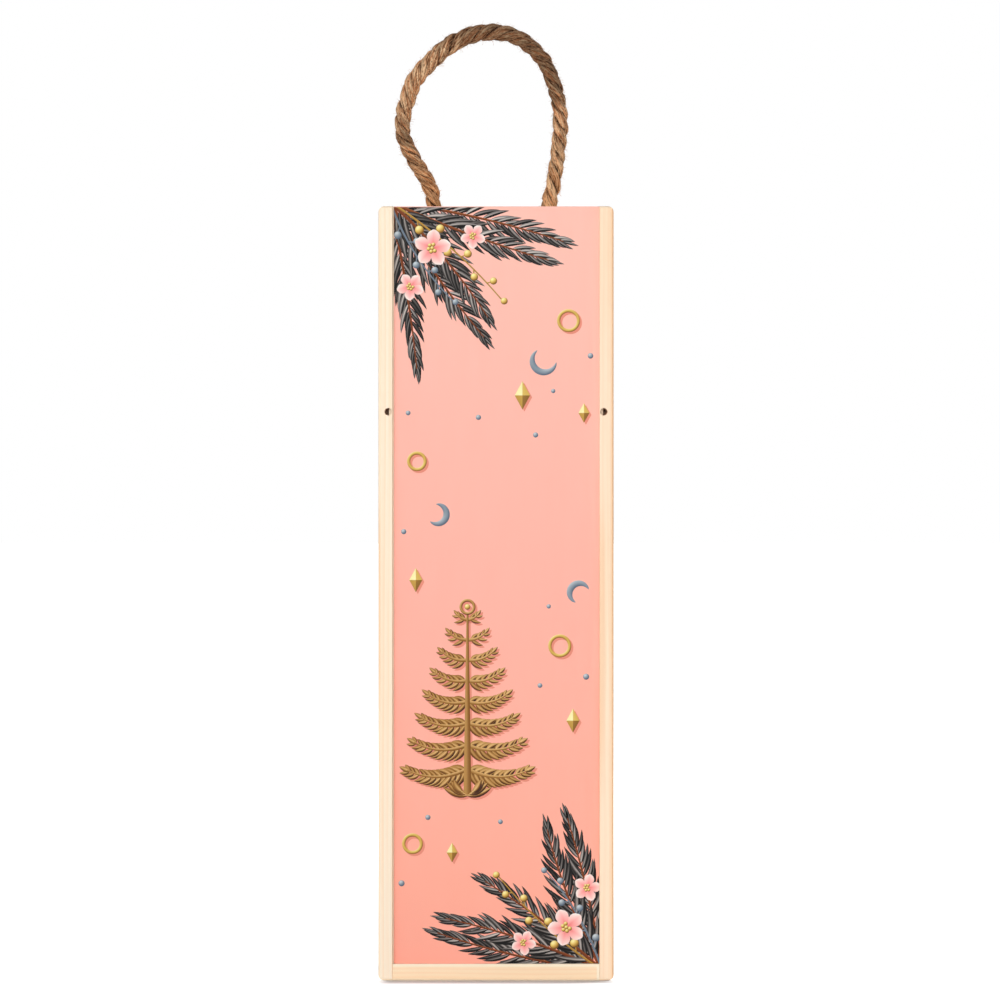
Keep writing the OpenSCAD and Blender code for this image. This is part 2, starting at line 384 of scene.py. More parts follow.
# %% [markdown]
# Where sanding has cut through an edge, the fresh wood is paler, and that pale tint also paints
# the light that a rounded edge catches. On the edges that face away from the light the tint is
# painted shade, a darker tan. A second small group finds an arris by its slope: no part of the
# normal is near 1 there. It then picks the tint by the side to which the arris faces.

# %% Arris group
# The pale tint is sanded wood and a painted highlight. The tan is painted shade.
ARRIS_PALE_AND_LIT, ARRIS_SHADE = linear(255, 233, 203), linear(254, 195, 148)
TOWARDS_LIGHT = (-1.0, 0, 0.2)

arris_group, given = new_group("arris_tint_and_shade",
    [("Normal", "NodeSocketVector", None), ("Color", "NodeSocketColor", None),
     ("Painted Shade", "NodeSocketFloat", 0.0)],
    [("Color", "NodeSocketColor")])
x, y, z = split(arris_group, vectors(arris_group, "ABSOLUTE", given["Normal"]))
largest = sums(arris_group, "MAXIMUM", sums(arris_group, "MAXIMUM", x, y), z)
slope = smooth_between(arris_group, largest, 0.985, 0.90, 0.0, 0.85)
lit = vectors(arris_group, "DOT_PRODUCT", given["Normal"], TOWARDS_LIGHT, out="Value")
away = smooth_between(arris_group, lit, -0.45, -0.05, 1.0, 0.0)
tint = mix_colours(arris_group, product(arris_group, away, given["Painted Shade"]), ARRIS_PALE_AND_LIT, ARRIS_SHADE)
add(arris_group, "NodeGroupOutput", {"Color": mix_colours(arris_group, slope, given["Color"], tint)})
print("arris group:", len(arris_group.nodes), "nodes")

# %% [markdown]
# Each board gets its own material, because no two boards in a box come from the same place in
# the tree. The Mapping node sets where the pith lies and turns the trunk along the board. A
# narrow edge shows only faint lines, while the rings stand out on a broad face, so a side board
# takes a browner latewood where its surface faces sideways.

# %% Pine material
TRUNK_UP = (0, 0, 0)
TRUNK_ACROSS = (0, math.radians(90), 0)


def front_edge(tree, y, amount=1.0):
    """A mask that is full at a board's front edge and gone 4 mm behind it."""
    return smooth_between(tree, y, FRONT_Y + 4 * MM, FRONT_Y + 1 * MM, 0.0, amount)


def pine(name, earlywood, latewood, pith, trunk=TRUNK_UP, ring=2.0, rings=0.5, warp=4.0, arris_shade=0.0, broad=None):
    """An unfinished, sanded board. pith is where the log's middle lies from the box's middle, and
    ring is the width of a ring, both in millimetres. rings is how strongly they show, arris_shade how
    much painted shade the front arrises take on their side away from the light, and broad the
    latewood's colour on faces that look sideways."""
    made, tree, shader = new_material(name)
    where = add(tree, "ShaderNodeTexCoord").outputs
    turned = add(tree, "ShaderNodeMapping", {"Vector": where["Object"], "Rotation": trunk,
        "Location": [v * MM for v in pith]}).outputs[0]
    facing = add(tree, "ShaderNodeMapping", {"Vector": where["Normal"], "Rotation": trunk},
        vector_type="NORMAL").outputs[0]
    if broad:
        sideways = split(tree, vectors(tree, "ABSOLUTE", where["Normal"]))[0]
        latewood = mix_colours(tree, smooth_between(tree, sideways, 0.8, 0.98), latewood, broad)
        rings = smooth_between(tree, sideways, 0.8, 0.98, rings, 0.8)
    figure = add(tree, "ShaderNodeGroup", {"Vector": turned, "Normal": facing, "Earlywood": earlywood,
        "Latewood": latewood, "Ring Width": ring * MM, "Warp": warp * MM, "Ring Contrast": rings},
        node_tree=pine_group).outputs
    arris_shade_share = front_edge(tree, split(tree, where["Object"])[1], arris_shade)
    arris = add(tree, "ShaderNodeGroup", {"Normal": where["Normal"], "Color": figure["Color"], "Painted Shade": arris_shade_share},
        node_tree=arris_group).outputs
    fill(tree, shader, {"Base Color": arris["Color"], "Roughness": figure["Roughness"],
        "Normal": relief(tree, figure["Height"], 0.35, 0.05 * MM), "Specular IOR Level": 0.35})
    return made


print("a trunk across the box is turned by", round(math.degrees(TRUNK_ACROSS[1])), "degrees")

# %% [markdown]
# The left board is the palest in the picture, and the bottom one is the warmest. The right board
# has painted shade on the front arrises that face away from the light. The end boards lie across,
# so their trunk does too. The back panel is sliced thin from another part of the log, with wide
# rings that wander.

# %% Five boards' pine
PALE, STRAW, HONEY = linear(255, 240, 218), linear(253, 223, 188), linear(251, 213, 171)
FACE_BROWN = linear(236, 188, 142)

left_pine = pine("pine_left_board", PALE, STRAW, pith=(96, 31, 0), ring=1.9, broad=FACE_BROWN)
right_pine = pine("pine_right_board", linear(255, 232, 205), linear(250, 213, 176), pith=(-101, 44, 0),
    ring=2.2, arris_shade=1.0, broad=FACE_BROWN)
bottom_pine = pine("pine_bottom_board", linear(255, 231, 197), HONEY, pith=(-42, 20, 0),
    trunk=TRUNK_ACROSS, ring=1.6)
top_pine = pine("pine_top_board", linear(255, 230, 197), linear(247, 206, 164), pith=(310, 28, 0),
    trunk=TRUNK_ACROSS, ring=1.8)
panel_pine = pine("pine_back_panel", linear(252, 228, 196), linear(240, 196, 150), pith=(12, -62, 0),
    ring=3.4, rings=0.75, warp=16)
print("materials:", [m.name for m in (left_pine, right_pine, bottom_pine, top_pine, panel_pine)])

# %% [markdown]
# In the picture the bottom board has a pale line, 1.2 mm wide, along its top edge and down its
# right-hand end. It is a painted highlight, the light that an eased edge along there catches.
# It is only a change of colour, so the material of that one board gets a mask from its own
# coordinates. The helper takes the mask as a function of x, y and z, because more marks of this
# kind follow.

# %% Painted highlight on the bottom board's rim
RIM = 1.2 * MM
RIM_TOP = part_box("bottom_end")[1].z


def colour_over(material, colour, mask):
    """Mixes a colour over a material's own, as far as a mask of x, y and z says."""
    tree = material.node_tree
    shader = tree.nodes["Principled BSDF"]
    plain = shader.inputs["Base Color"].links[0].from_socket
    share = mask(tree, *split(tree, own_place(tree)))
    fill(tree, shader, {"Base Color": mix_colours(tree, share, plain, colour)})


def rim_highlight(tree, x, _, z):
    """The mask of the bottom board's pale line, a painted highlight."""
    by_top = smooth_between(tree, z, RIM_TOP - 1.25 * RIM, RIM_TOP - 0.75 * RIM)
    by_end = smooth_between(tree, x, right_low.x - 1.25 * RIM, right_low.x - 0.75 * RIM)
    return product(tree, sums(tree, "MAXIMUM", by_top, by_end), 0.75)


# A painted highlight along the top edge and the right-hand end of the bottom board.
colour_over(bottom_pine, linear(255, 243, 218), rim_highlight)
print("pale rim under z", round(RIM_TOP / MM, 1), "mm")

# %% [markdown]
# The fronts of the side boards aren't even either. The outer edge of the right one has painted
# shade, darker and browner, where its round-over faces away from the light. And each has a warm
# streak a little below half height, on the left board's outer side and the right board's inner
# side, where the surface runs along one growth ring for a while. A streak is a long soft spot, so
# its mask is one fade across and one fade along.

# %% Painted shade on the right board's outer edge, and warm streaks
OUTER_SHADE_FROM, OUTER_SHADE_TO = right_high.x - 2.2 * MM, right_high.x - 0.7 * MM
STREAK_BROWN, STREAK_SHARE = linear(244, 190, 140), 0.42


def outer_edge_shade(tree, x, y, _):
    """The mask of the painted shade on the right board's outer edge."""
    outwards = smooth_between(tree, x, OUTER_SHADE_FROM, OUTER_SHADE_TO, 0.0, 0.7)
    return product(tree, outwards, front_edge(tree, y))


def warm_streak(material, line, half_wide, foot, head):
    """Browns a board's front edge round the line at one x, from foot to head, with faded ends."""
    half_long = (head - foot) / 2
    def mask(tree, x, y, z):
        """Full near the line's middle, and gone at half_wide and at both ends."""
        across = sums(tree, "ABSOLUTE", sums(tree, "SUBTRACT", x, line))
        along = sums(tree, "ABSOLUTE", sums(tree, "SUBTRACT", z, foot + half_long))
        return product(tree, smooth_between(tree, across, half_wide, 0.3 * half_wide, 0.0, STREAK_SHARE),
            smooth_between(tree, along, half_long, 0.4 * half_long), front_edge(tree, y))
    colour_over(material, STREAK_BROWN, mask)


# Painted shade on the right board's outer edge, which faces away from the light.
colour_over(right_pine, linear(250, 205, 160), outer_edge_shade)
warm_streak(left_pine, left_low.x, 1.7 * MM, 110 * MM, 232 * MM)
warm_streak(right_pine, right_low.x + 0.9 * MM, 2.3 * MM, 70 * MM, 240 * MM)
print("handled from x", round(OUTER_SHADE_FROM / MM, 1), "to", round(OUTER_SHADE_TO / MM, 1), "mm")

# %% [markdown]
# The walls of the two pin holes get a brown painted shade, the dark of a narrow, deep hole. Their
# places come from the record that is packed with the part. A mask by distance from a hole's middle
# line reaches its wall but not the wood round it.

# %% Painted shade in the pin holes
HOLE_WALL, HOLE_DEEP, HOLE_SHADE = 1.75 * MM, 12 * MM, linear(158, 98, 56)


def shade_hole(material, middle):
    """Paints shade on a board inside a bore that runs along y, from just behind the front edge to its end."""
    def mask(tree, x, y, z):
        """Full on the hole's wall and inside it, down to its end."""
        off = (sums(tree, "SUBTRACT", x, middle[0]), sums(tree, "SUBTRACT", z, middle[2]))
        return product(tree, smooth_between(tree, hypotenuse(tree, *off), 1.12 * HOLE_WALL, HOLE_WALL),
            smooth_between(tree, y, FRONT_Y + 0.1 * MM, FRONT_Y + 0.9 * MM, 0.0, 0.75),
            smooth_between(tree, y, FRONT_Y + HOLE_DEEP + MM, FRONT_Y + HOLE_DEEP))
    colour_over(material, HOLE_SHADE, mask)


pin_holes = {m["name"]: m["pos_m"] for m in frame["record"]["mounts"] if m["name"].endswith("pin_hole")}
# Painted shade on the walls of both pin holes.
shade_hole(left_pine, pin_holes["left_pin_hole"])
shade_hole(right_pine, pin_holes["right_pin_hole"])
print("pin holes at", pin_holes)

# %% [markdown]
# ## Boards
# A solid from the CAD has knife edges, and a real board never does, because sanding takes the
# arris off. Each CAD mesh is loose triangles, so a copy is welded, its flat faces are made
# whole again, and a tiny bevel with hardened normals goes round every edge. The modifier's
# result is kept as a plain mesh, so nothing is left to work out when the box is posed.

# %% Soft-edged copies
WELD, FLAT = 0.002 * MM, math.radians(0.4)
SHARP, BEVELLED = math.radians(30), math.radians(40)


def baked(holder, name):
    """The evaluated mesh of an object, modifiers included, as a plain mesh; the object is removed."""
    depsgraph = bpy.context.evaluated_depsgraph_get()
    mesh = bpy.data.meshes.new_from_object(holder.evaluated_get(depsgraph), preserve_all_data_layers=True,
        depsgraph=depsgraph)
    mesh.name = name
    bpy.data.objects.remove(holder)
    return mesh


def soften(node, round_mm):
    """A CAD node's mesh, welded, with whole flat faces and a small bevel on its sharp edges."""
    mesh = frame["nodes"][node].data.copy()
    mesh.materials.clear()
    work = bmesh.new()
    work.from_mesh(mesh)
    bmesh.ops.remove_doubles(work, verts=work.verts, dist=WELD)
    bmesh.ops.dissolve_limit(work, angle_limit=FLAT, verts=work.verts, edges=work.edges)
    work.to_mesh(mesh)
    work.free()
    mesh.shade_smooth()
    mesh.set_sharp_from_angle(angle=SHARP)
    holder = in_scene(node, mesh)
    bevel = holder.modifiers.new("sanded edge", "BEVEL")
    bevel.width, bevel.segments = round_mm * MM, 2
    bevel.limit_method, bevel.angle_limit = "ANGLE", BEVELLED
    bevel.harden_normals = True
    return baked(holder, node)


print("CAD nodes to dress:", len(frame["nodes"]))

# %% [markdown]
# A dressed copy takes the place of its CAD node, with its own material. It rides on the node's
# body, so it moves with it.

# %% Boards in place
def show(mesh, name, body, material=None):
    """A finished mesh as an object that rides on a CAD body."""
    made = in_scene(name, mesh)
    if material:
        mesh.materials.clear()
        mesh.materials.append(material)
    if body:
        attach(made, body)
    return made


for node, material, round_mm in (("left_side", left_pine, 0.06), ("right_side", right_pine, 0.06),
        ("bottom_end", bottom_pine, 0.03), ("top_end", top_pine, 0.05), ("back_panel", panel_pine, 0.05)):
    board = show(soften(node, round_mm), node + "_board", "box", material)
    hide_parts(node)
    print(board.name, len(board.data.polygons), "faces")

# %% [markdown]
# ## Brads
# The nails that hold the sides have bare steel heads, set just below the wood. Steel has no
# colour of its own but what it reflects. Tiny scratches on a nail gun's brads blur that.

# %% Brads
SCUFF_SCALE = (2600, 2600, 2600)

brad_steel, tree, shader = new_material("brad_steel")
scuffs = stretched_noise(tree, own_place(tree), SCUFF_SCALE).outputs["Fac"]
fill(tree, shader, {"Metallic": 1.0, "Base Color": (0.40, 0.39, 0.38, 1),
    "Roughness": smooth_between(tree, scuffs, 0.3, 0.7, 0.35, 0.6)})
for node in ("left_top_brads", "left_bottom_brads", "right_top_brads", "right_bottom_brads"):
    row = show(soften(node, 0.1), node + "_steel", "box", brad_steel)
    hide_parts(node)
    print(row.name, len(row.data.polygons), "faces")

# %% [markdown]
# ## The lid
# The lid is a 4 mm board with a matt print on its front face only. The ink lies thin on the
# wood, so the board's grain still shows faintly in its gloss and relief. All the inks below
# share that finish, so it is a function, and the colour comes later.

# %% Matt print
GRAIN_SCALE = (900, 900, 30)


def matt_print(name, rough=0.5):
    """A material without a colour yet, its node tree and its shader."""
    made, tree, shader = new_material(name)
    grain = stretched_noise(tree, own_place(tree), GRAIN_SCALE, detail=3).outputs["Fac"]
    fill(tree, shader, {"Normal": relief(tree, grain, 0.12, 0.03 * MM), "Specular IOR Level": 0.3,
        "Roughness": smooth_between(tree, grain, 0.3, 0.7, rough - 0.06, rough + 0.06)})
    return made, tree, shader


ground, tree, shader = matt_print("lid_print_ground")
print("print ground has", len(tree.nodes), "nodes before its colour")

# %% [markdown]
# The print's ground runs from a pale pink at the top to a deeper salmon at the foot, so its
# colour is a ramp over the height. The print ends just inside the grooves. Beyond that the face
# is bare wood, as the lid shows when it is drawn.

# %% Print ground
GROUND_STOPS = [(0.0, linear(255, 168, 147)), (0.10, linear(255, 171, 149)), (0.5, linear(255, 178, 161)),
    (0.75, linear(255, 184, 168)), (1.0, linear(255, 190, 174))]
PRINT_LEFT, PRINT_RIGHT = left_high.x + 0.5 * MM, right_low.x + 0.15 * MM
PRINT_BLUR = 0.08 * MM
BARE_PINE = linear(253, 232, 203)

x, _, z = split(tree, own_place(tree))
up = add(tree, "ShaderNodeMapRange", {"Value": z, "From Min": lid_low.z,
    "From Max": lid_high.z}).outputs["Result"]
fade = add(tree, "ShaderNodeValToRGB", {"Fac": up})
for _ in GROUND_STOPS[2:]:
    fade.color_ramp.elements.new(0.5)
for stop, (at, colour) in zip(fade.color_ramp.elements, GROUND_STOPS):
    stop.position, stop.color = at, colour
left_bare = smooth_between(tree, x, PRINT_LEFT + PRINT_BLUR, PRINT_LEFT - PRINT_BLUR)
right_bare = smooth_between(tree, x, PRINT_RIGHT - PRINT_BLUR, PRINT_RIGHT + PRINT_BLUR)
bare = sums(tree, "MAXIMUM", left_bare, right_bare)
fill(tree, shader, {"Base Color": mix_colours(tree, bare, fade.outputs[0], BARE_PINE)})
print("print", round((PRINT_RIGHT - PRINT_LEFT) / MM, 1), "mm wide, on a lid of",
    round((lid_high.x - lid_low.x) / MM, 1))

# %% [markdown]
# One board carries two materials. The faces that look forwards take the print. The rest is pine
# that was sawn so far from the middle of the log that its rings hardly curve.

# %% Lid board
LOOKS_FORWARDS = -0.9

lid_pine = pine("pine_lid_board", BARE_PINE, linear(244, 208, 168), pith=(70, 150, 0), ring=2.4, warp=9)
lid_mesh = soften("sliding_lid", 0.15)
lid_mesh.materials.append(lid_pine)
lid_mesh.materials.append(ground)
for face in lid_mesh.polygons:
    face.material_index = int(face.normal.y < LOOKS_FORWARDS)
lid_board = show(lid_mesh, "lid_board", "lid")
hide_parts("sliding_lid")
print("printed faces:", sum(face.material_index for face in lid_mesh.polygons), "of", len(lid_mesh.polygons))

# %% [markdown]
# ## The printed design
# The print is flat ink, but it has crisp edges and its own painted light and shade, which no
# noise gives. An image would do it in one step, but here each mark is a thin sheet of its own,
# less than 0.1 mm off the board, with a colour stored at every point. An ink is a ramp of colours
# that turns a shade from 0 to 1 into a colour.

# %% Inks
INKS = {
    "charcoal": [(2, 2, 2), (8, 7, 7), (58, 54, 52), (154, 147, 143), (248, 238, 228)],
    "bark": [(52, 22, 10), (88, 40, 18), (124, 62, 30), (160, 96, 56), (196, 140, 96)],
    "gold": [(110, 74, 24), (160, 116, 44), (204, 162, 74), (238, 210, 118), (255, 248, 186)],
    "old gold": [(44, 14, 0), (112, 66, 12), (174, 126, 64), (218, 174, 110), (252, 218, 160)],
    "silver": [(78, 92, 108), (100, 114, 130), (124, 138, 150), (160, 172, 180), (212, 220, 224)],
    "blush": [(226, 92, 96), (246, 134, 132), (255, 172, 168), (255, 212, 204), (255, 242, 236)],
    "shadow": [(232, 142, 122)] * 5,
}
print("inks:", ", ".join(INKS))

# %% [markdown]
# All the marks come from one primitive, a grid of points with a shade for each. Neighbouring
# marks overlap, and sheets in one plane would flicker through each other. So a design layer is
# 16 microns thick, and within a layer every mark can lie a step or more above the last one.

# %% Grids of points
LAYER, STEP = 0.016, 0.0016
SHEETS = ("shadow", "sprigs", "gold", "silver", "blossoms")
design = {name: {"verts": [], "faces": [], "inks": []} for name in SHEETS}


def lay(sheet, ink, grid, shade, height):
    """Lays a grid of points in millimetres (rows, columns, 2), with a shade each, on a sheet."""
    rows, columns = grid.shape[:2]
    kept = design[sheet]
    base = sum(len(v) for v in kept["verts"])
    flat = grid.reshape(-1, 2) * MM
    depth = np.full(len(flat), LID_FACE - height * MM)
    kept["verts"].append(np.column_stack([flat[:, 0], depth, flat[:, 1]]))
    i, j = np.meshgrid(np.arange(rows - 1), np.arange(columns - 1), indexing="ij")
    a = base + (i * columns + j).ravel()
    kept["faces"].append(np.column_stack([a, a + 1, a + columns + 1, a + columns]))
    stops = np.array(INKS[ink]) / 255
    shade = np.clip(np.broadcast_to(shade, (rows, columns)).ravel(), 0, 1)
    parts = [np.interp(shade, np.linspace(0, 1, len(stops)), stops[:, k]) for k in range(3)]
    kept["inks"].append(np.stack(parts, axis=1))


print("layers", LAYER, "mm apart, with", round(LAYER / STEP), "steps each")

# %% [markdown]
# Stems and leaves follow bowed lines. The painted light falls from the upper left, so a mark's
# shade depends on which way its surface would turn: the side of a line that looks to the light
# is lighter.

# %% Lines
LIGHT = np.array([-0.55, 0.83])


def towards(angle):
    """The unit direction at an angle."""
    return np.array([math.cos(angle), math.sin(angle)])


def crossways(line):
    """The unit direction to the left of a line at each of its points."""
    run = np.gradient(line, axis=0)
    run /= np.linalg.norm(run, axis=1)[:, None]
    return np.column_stack([-run[:, 1], run[:, 0]])


def bowed(root, angle, long, bow, count):
    """A line that starts at a root and turns by bow over its length."""
    turned = angle + bow * np.linspace(0, 1, count - 1)
    steps = np.column_stack([np.cos(turned), np.sin(turned)]) * long / (count - 1)
    return np.vstack([root, root + np.cumsum(steps, axis=0)])


print("a 10 mm line that turns by 1 radian ends at", bowed(np.zeros(2), 0, 10, 1, 20)[-1].round(1))

# %% [markdown]
# Two marks make up most of the design. A band is a tapering stem with a ridge of light along it.
# A leaf swells and comes to a point, and has a light half, a dark half and a pale rib.

# %% Band and leaf
def band(sheet, ink, line, wide_from, wide_to, height, dark=0.15):
    """A tapering stem, with a light ridge along the side that faces the light."""
    across = crossways(line)
    half = np.linspace(wide_from, wide_to, len(line))[:, None] / 2
    lit = across @ LIGHT
    rows = [line + half * across * f for f in (1, 0.35, -0.35, -1)]
    shade = np.array([dark + 0.45 * (0.5 + 0.5 * f * lit) for f in (1.2, 0.9, -0.5, -1.2)])
    lay(sheet, ink, np.array(rows), shade, height)


def leaf(sheet, ink, root, angle, long, wide, height, bow=0.3, dark=0.1, count=8):
    """A pointed leaf: its half that faces the light is lighter, and a pale rib runs down the middle."""
    line = bowed(np.array(root, float), angle, long, bow, count)
    across = crossways(line)
    t = np.linspace(0, 1, count)
    half = (wide / 2 * np.sin(math.pi * np.clip(t, 0.02, 0.98) ** 0.75) ** 0.8)[:, None]
    half[-1] = 0
    lit = across @ LIGHT
    rows = [line + half * across * f for f in (1, 0.5, 0.12, -0.12, -0.5, -1)]
    side = np.array([0.5 * (1 + f * lit) for f in (0.95, 0.8, 0.5, -0.5, -0.8, -0.95)])
    rib = np.array([-0.16, 0.1, 0.34, 0.34, 0.0, -0.16])[:, None]
    lay(sheet, ink, np.array(rows), dark + 0.66 * side + rib * (1 - 0.5 * t), height)


print("a band has 4 rows of points and a leaf has 6")

# %% [markdown]
# The largest marks are leafy sprigs in two corners, five to a corner. A sprig is a stem with
# narrow leaves on both sides. Their size and slant are drawn at random, as no two leaves are alike.

# %% Sprigs
TOP_LEFT = np.array((lid_low.x / MM + 0.5, lid_high.z / MM + 2))
BOTTOM_RIGHT = np.array((lid_high.x / MM - 0.5, lid_low.z / MM - 1))
LEAF_LONG, LEAF_WIDE, LEAF_GAP = 18.0, 2.5, 1.7


def sprig(root, angle, long, bow, level):
    """A bowed stem with narrow leaves on both sides that shrink towards its tip."""
    line = bowed(np.array(root, float), math.radians(angle), long, math.radians(bow), 48)
    band("sprigs", "bark", line, 1.5, 0.5, level * LAYER + 8 * STEP, dark=0.25)
    count = int(long / LEAF_GAP)
    rng = np.random.default_rng(int(level * 7 + long))
    for i in range(2, count + 1):
        at = i / count
        side = 1 if i % 2 else -1
        size = (1.0 - 0.55 * at**1.5) * rng.uniform(0.85, 1.1)
        splay = side * rng.uniform(0.5, 0.82) * (1 - 0.5 * at**3)
        leaf("sprigs", "charcoal", line[min(int(at * 47), 46)], math.radians(angle + bow * at) + splay,
            LEAF_LONG * size, LEAF_WIDE * size**0.5, level * LAYER + (i % 8) * STEP, bow=-0.35 * side,
            dark=rng.uniform(-0.12, 0.18))
    leaf("sprigs", "charcoal", line[-2], math.radians(angle + bow), LEAF_LONG * 0.5, LEAF_WIDE * 0.6,
        level * LAYER, bow=0.05)


for corner, stems in (
        (TOP_LEFT, ((-8, 78, -10, 1), (-24, 74, 8, 2), (-43, 66, -14, 3), (-60, 72, 10, 2),
            (-78, 74, -6, 1))),
        (BOTTOM_RIGHT, ((173, 74, -12, 1), (156, 72, 12, 2), (138, 64, 10, 3), (118, 66, -14, 2),
            (99, 68, 8, 1)))):
    for angle, long, bow, level in stems:
        sprig(corner + 3 * towards(math.radians(angle)), angle, long, bow, level)
print("sprigs:", len(design["sprigs"]["verts"]), "marks")

# %% [markdown]
# Over the sprigs lie thin twigs of round berries, a gold and a silver one in each corner. A
# berry is a grid too, with rows that are circles, and is shaded like a sphere.

# %% Berry twigs
TWIGS_UP = 4 * LAYER


def ball(sheet, ink, middle, across, height, around=18):
    """A round berry or bead, shaded like a sphere."""
    turn = np.linspace(0, 2 * math.pi, around + 1)
    ring = np.column_stack([np.cos(turn), np.sin(turn)])
    r = np.array([0.001, 0.35, 0.62, 0.84, 1.0])[:, None, None]
    grid = np.array(middle) + r * ring * across / 2
    level = np.sqrt(np.clip(1 - r[..., 0] ** 2, 0, 1)) * 0.62 + r[..., 0] * (ring @ LIGHT) * 0.62
    lay(sheet, ink, grid[::-1], np.clip(0.12 + 0.95 * level, 0, 1)[::-1], height)


def twig(metal, root, angle, long, bow, berry, count):
    """A thin stem of gold or silver, with berries on short stalks."""
    line = bowed(np.array(root, float), math.radians(angle), long, math.radians(bow), 40)
    band(metal, metal, line, 1.0, 0.5, TWIGS_UP, dark=0.1)
    for i in range(count):
        at = 0.25 + 0.75 * i / (count - 1)
        way = math.radians(angle + bow * at + (55 if i % 2 else -50) * (i < count - 1))
        stalk = bowed(line[int(at * 39)], way, 4.6 - 1.6 * at, 0.3, 6)
        band(metal, metal, stalk, 0.6, 0.4, TWIGS_UP + STEP, dark=0.1)
        ball(metal, metal, stalk[-1], berry * (1.05 - 0.3 * at), TWIGS_UP + (2 + i % 4) * STEP)


twig("gold", TOP_LEFT, -33, 66, -16, 4.2, 7)
twig("silver", TOP_LEFT, -70, 52, 24, 3.6, 6)
twig("gold", BOTTOM_RIGHT, 147, 62, -18, 4.2, 7)
twig("silver", BOTTOM_RIGHT, 108, 50, 22, 3.6, 6)
print("berry twigs:", len(design["gold"]["verts"]), "gold marks,", len(design["silver"]["verts"]), "silver")

# %% [markdown]
# Three blossoms lie on top in each corner. A petal is a grid that swells and closes again, and it
# is paler towards its edge, with a darker vein. Gold beads fill the middle.

# %% Blossoms
BLOSSOMS_UP = 5 * LAYER


def blossom(middle, across, turned):
    """Five round petals that pale towards their edge, with gold beads in the middle."""
    t = np.linspace(0.05, 1, 8)
    half = 0.36 * across * np.sin(math.pi * np.clip(t, 0, 0.97) ** 1.5) ** 0.6
    half[-1] = 0.06 * across
    vein = np.array([0.12, 0.04, -0.1, 0.04, 0.12])[:, None]
    for k in range(5):
        way = math.radians(turned + 72 * k)
        sideways = towards(way + math.pi / 2)
        line = np.array(middle) + t[:, None] * towards(way) * across / 2
        rows = np.array([line + f * (half / 2)[:, None] * sideways for f in (1, 0.5, 0, -0.5, -1)])
        lit = 0.12 * np.array([1, 0.5, 0, -0.5, -1])[:, None] * (sideways @ LIGHT)
        lay("blossoms", "blush", rows, 0.1 + 0.8 * t**0.8 + vein + lit, BLOSSOMS_UP + k * STEP)
    for k in range(6):
        spot = np.array(middle) + towards(math.radians(60 * k + turned)) * across * 0.1 * (k > 0)
        ball("gold", "gold", spot, across * 0.11, BLOSSOMS_UP + (6 + k % 3) * STEP, around=10)


for middle, across, turned in (((-29, 333), 17, 12), ((-39, 315.5), 12.5, 50), ((-10.5, 338.5), 11.5, -20),
        ((32, 24), 17, 40), ((41.5, 42), 12.5, 5), ((12.5, 17), 11.5, -10)):
    blossom(middle, across, turned)
print("blossoms:", len(design["blossoms"]["verts"]), "petals")

# %% [markdown]
# Between the corners stands a gilded tree of feathery boughs, with a ring on top, all in an older,
# browner gold. It needs two more marks. A hoop is a ring of round wire. A bough is a bowed band
# with pairs of leaves that grow smaller towards its tip.

# %% Ring and bough
def hoop(sheet, ink, middle, across, thick, height, around=40, share=1.0, turned=0.0):
    """A ring of round wire, or a part of one that tapers to its ends."""
    turn = turned + np.linspace(0, 2 * math.pi * share, around + 1)
    ring = np.column_stack([np.cos(turn), np.sin(turn)])
    slim = np.ones(around + 1) if share == 1 else np.sin(np.linspace(0.02, math.pi - 0.02, around + 1)) ** 0.7
    f = np.array([1, 0.5, 0, -0.5, -1])[:, None]
    grid = np.array(middle) + ring * (across / 2 + f * slim * thick / 2)[..., None]
    lay(sheet, ink, grid, 0.42 + 0.5 * f * (ring @ LIGHT) + 0.16 * (1 - abs(f)), height)


def bough(root, start, bow, reach, long, wide, height):
    """A bowed bough with pointed leaves on both sides and a leaf at its tip."""
    line = bowed(root, start, reach, bow, 26)
    leaves = max(int(reach / 2.3), 2)
    for i in range(leaves):
        along = (i + 0.6) / leaves
        for flank in (1, -1):
            size = long * (1 - 0.55 * along) * (1.0 if flank * bow < 0 else 0.78)
            leaf("gold", "old gold", line[int(along * 25)], start + bow * along + flank * 0.86, size,
                wide * (1 - 0.35 * along), height + (i % 4) * STEP, bow=-0.6 * flank,
                dark=0.1 * (i % 2) - 0.04, count=7)
    leaf("gold", "old gold", line[-2], start + bow, long * 0.5, wide * 0.8, height + 4 * STEP, bow=0.02,
        count=7)
    band("gold", "old gold", line, 1.8, 0.6, height + 5 * STEP, dark=0.3)


print("a bough of 24 mm has", int(24 / 2.3) * 2 + 1, "leaves")

# %% [markdown]
# The tree has eight tiers of two boughs. The lowest hang down where they start and reach the
# farthest, and all of them lift at their tips. The trunk runs up in front of them.

